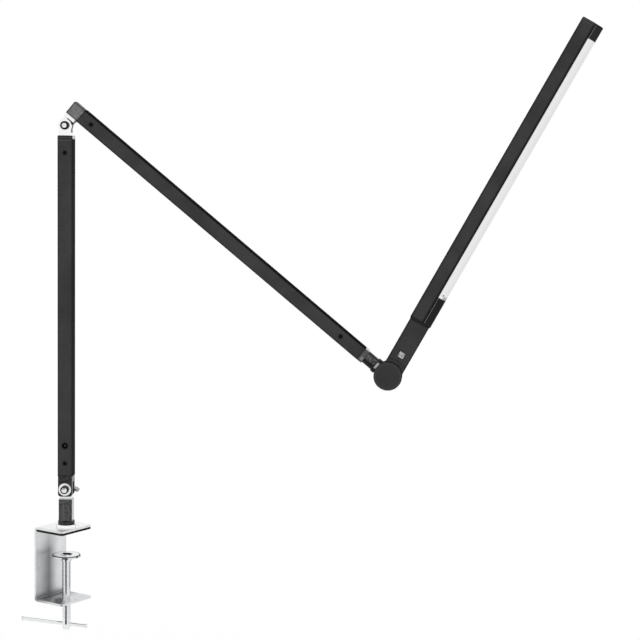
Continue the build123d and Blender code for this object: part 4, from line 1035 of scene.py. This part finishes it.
class LAMP_OT_stage(bpy.types.Operator):
    """Makes the pale floor, the soft lights, the white surround, the reflection cards and the camera"""

    bl_idname = "lamp.stage"
    bl_label = "Studio"

    def execute(self, context):
        stage = context.scene.lamp_stage
        scene = context.scene
        target = Vector(stage.target)
        azimuth, elevation = stage.azimuth, stage.elevation
        ahead = Vector((math.sin(azimuth), -math.cos(azimuth), 0.0))
        across = Vector((math.cos(azimuth), math.sin(azimuth), 0.0))
        rise = Vector((0.0, 0.0, 1.0))

        # Floor: matt paper that lights the lamp from below and fades to plain white away from it.
        level, side = CAD_BOX[0][2] - stage.floor_gap, stage.floor_size / 2
        corners = ((-side, -side), (side, -side), (side, side), (-side, side))
        paper = bpy.data.materials.new("pale_floor")
        shading = Shading(paper)
        matt = shading.node("ShaderNodeBsdfDiffuse", {}, {"Color": grey(0.9)})
        white = shading.node("ShaderNodeEmission", {}, {"Color": grey(1.0), "Strength": 1.0})
        away = shading.node("ShaderNodeVectorMath", {"operation": "LENGTH"}, {0: shading.place})
        fade = 0.95 + 0.05 * Value(shading, away.outputs["Value"]).ramp(0.5, 1.8)
        shading.show(shading.seen() * fade, matt, white)
        sheet("floor", [(x, y, level) for x, y in corners], paper)

        # Surround: soft even light, white to the camera and in reflections.
        scene.world = bpy.data.worlds.new("studio")
        shading = Shading(scene.world)
        soft = shading.node("ShaderNodeBackground", {}, {"Color": grey(1.0), "Strength": stage.surround})
        white = shading.node("ShaderNodeBackground", {}, {"Color": grey(1.0), "Strength": 1.0})
        shading.show(shading.seen(), soft, white, "ShaderNodeOutputWorld")

        # Cards that give the plated pieces their dark streaks.
        foot = Vector((0.0, 0.0, CAD_BOX[0][2] - FOOT_GAP))

        def out(bearing):
            """Level direction at a bearing in degrees from the camera's side, to its right."""
            angle = math.radians(bearing)
            return ahead * math.cos(angle) + across * math.sin(angle)

        for name, bearing, distance, width, low, high, tone in STANDING_CARDS:
            middle = foot + out(bearing) * distance
            half = out(bearing + 90.0) * width / 2
            left, right, bottom, top = middle - half, middle + half, rise * low, rise * high
            mirror_card(name, [left + bottom, right + bottom, right + top, left + top], tone)
        for name, start, end, near, far, tone in LYING_CARDS:
            corners = [out(start) * near, out(end) * near, out(end) * far, out(start) * far]
            mirror_card(name, [foot + corner + rise * MAT_RISE for corner in corners], tone)

        # Camera, level apart from its small roll.
        back = ahead * math.cos(elevation) + rise * math.sin(elevation)
        level_up = back.cross(across)
        right = across * math.cos(stage.roll) + level_up * math.sin(stage.roll)
        up = level_up * math.cos(stage.roll) - across * math.sin(stage.roll)
        lens = bpy.data.cameras.new("camera")
        lens.lens = stage.lens
        lens.sensor_width = 36.0
        lens.clip_end = 200.0
        camera = bpy.data.objects.new("camera", lens)
        facing = Matrix((right, up, back)).transposed().to_4x4()
        camera.matrix_world = Matrix.Translation(target + back * stage.distance) @ facing
        scene.collection.objects.link(camera)
        scene.camera = camera

        for name, right_of, above, before, power in (
            ("key", -1.1, 0.7, 2.3, stage.key_power),
            ("fill", 1.3, 0.5, 2.1, stage.fill_power),
            ("top", 0.1, 2.2, 0.5, stage.top_power),
        ):
            place = target + across * right_of + rise * above + ahead * before
            area_light(name, place, target, LIGHT_SIZE, power)

        scene.view_settings.view_transform = "Standard"
        return {"FINISHED"}


class LAMP_PT_panel(bpy.types.Panel):
    """Steps that dress the lamp, with their sizes and colours."""

    bl_idname = "LAMP_PT_panel"
    bl_label = "Clamp lamp"
    bl_space_type = "VIEW_3D"
    bl_region_type = "UI"
    bl_category = "Lamp"

    def draw(self, context):
        for step in STEPS:
            self.layout.operator(step.bl_idname)
        for name, group in GROUPS.items():
            box = self.layout.box()
            for key in group.__annotations__:
                box.prop(getattr(context.scene, name), key)


GROUPS = {"lamp_finishes": LampFinishes, "lamp_sizes": LampSizes, "lamp_stage": LampStage}
STEPS = (
    LAMP_OT_finish_solids,
    LAMP_OT_clamp_screw,
    LAMP_OT_tommy_bar,
    LAMP_OT_pressure_pad,
    LAMP_OT_hinge_bolts,
    LAMP_OT_lip_trim,
    LAMP_OT_stage,
)


def register():
    for item in (*GROUPS.values(), *STEPS, LAMP_PT_panel):
        bpy.utils.register_class(item)
    for name, group in GROUPS.items():
        setattr(bpy.types.Scene, name, bpy.props.PointerProperty(type=group))


def unregister():
    for name in GROUPS:
        delattr(bpy.types.Scene, name)
    for item in reversed((*GROUPS.values(), *STEPS, LAMP_PT_panel)):
        bpy.utils.unregister_class(item)


def main():
    register()
    bpy.ops.lamp.finish_solids()
    bpy.ops.lamp.clamp_screw()
    bpy.ops.lamp.tommy_bar()
    bpy.ops.lamp.pressure_pad()
    bpy.ops.lamp.hinge_bolts()
    bpy.ops.lamp.lip_trim()
    bpy.ops.lamp.stage()


if __name__ == "__main__":
    main()
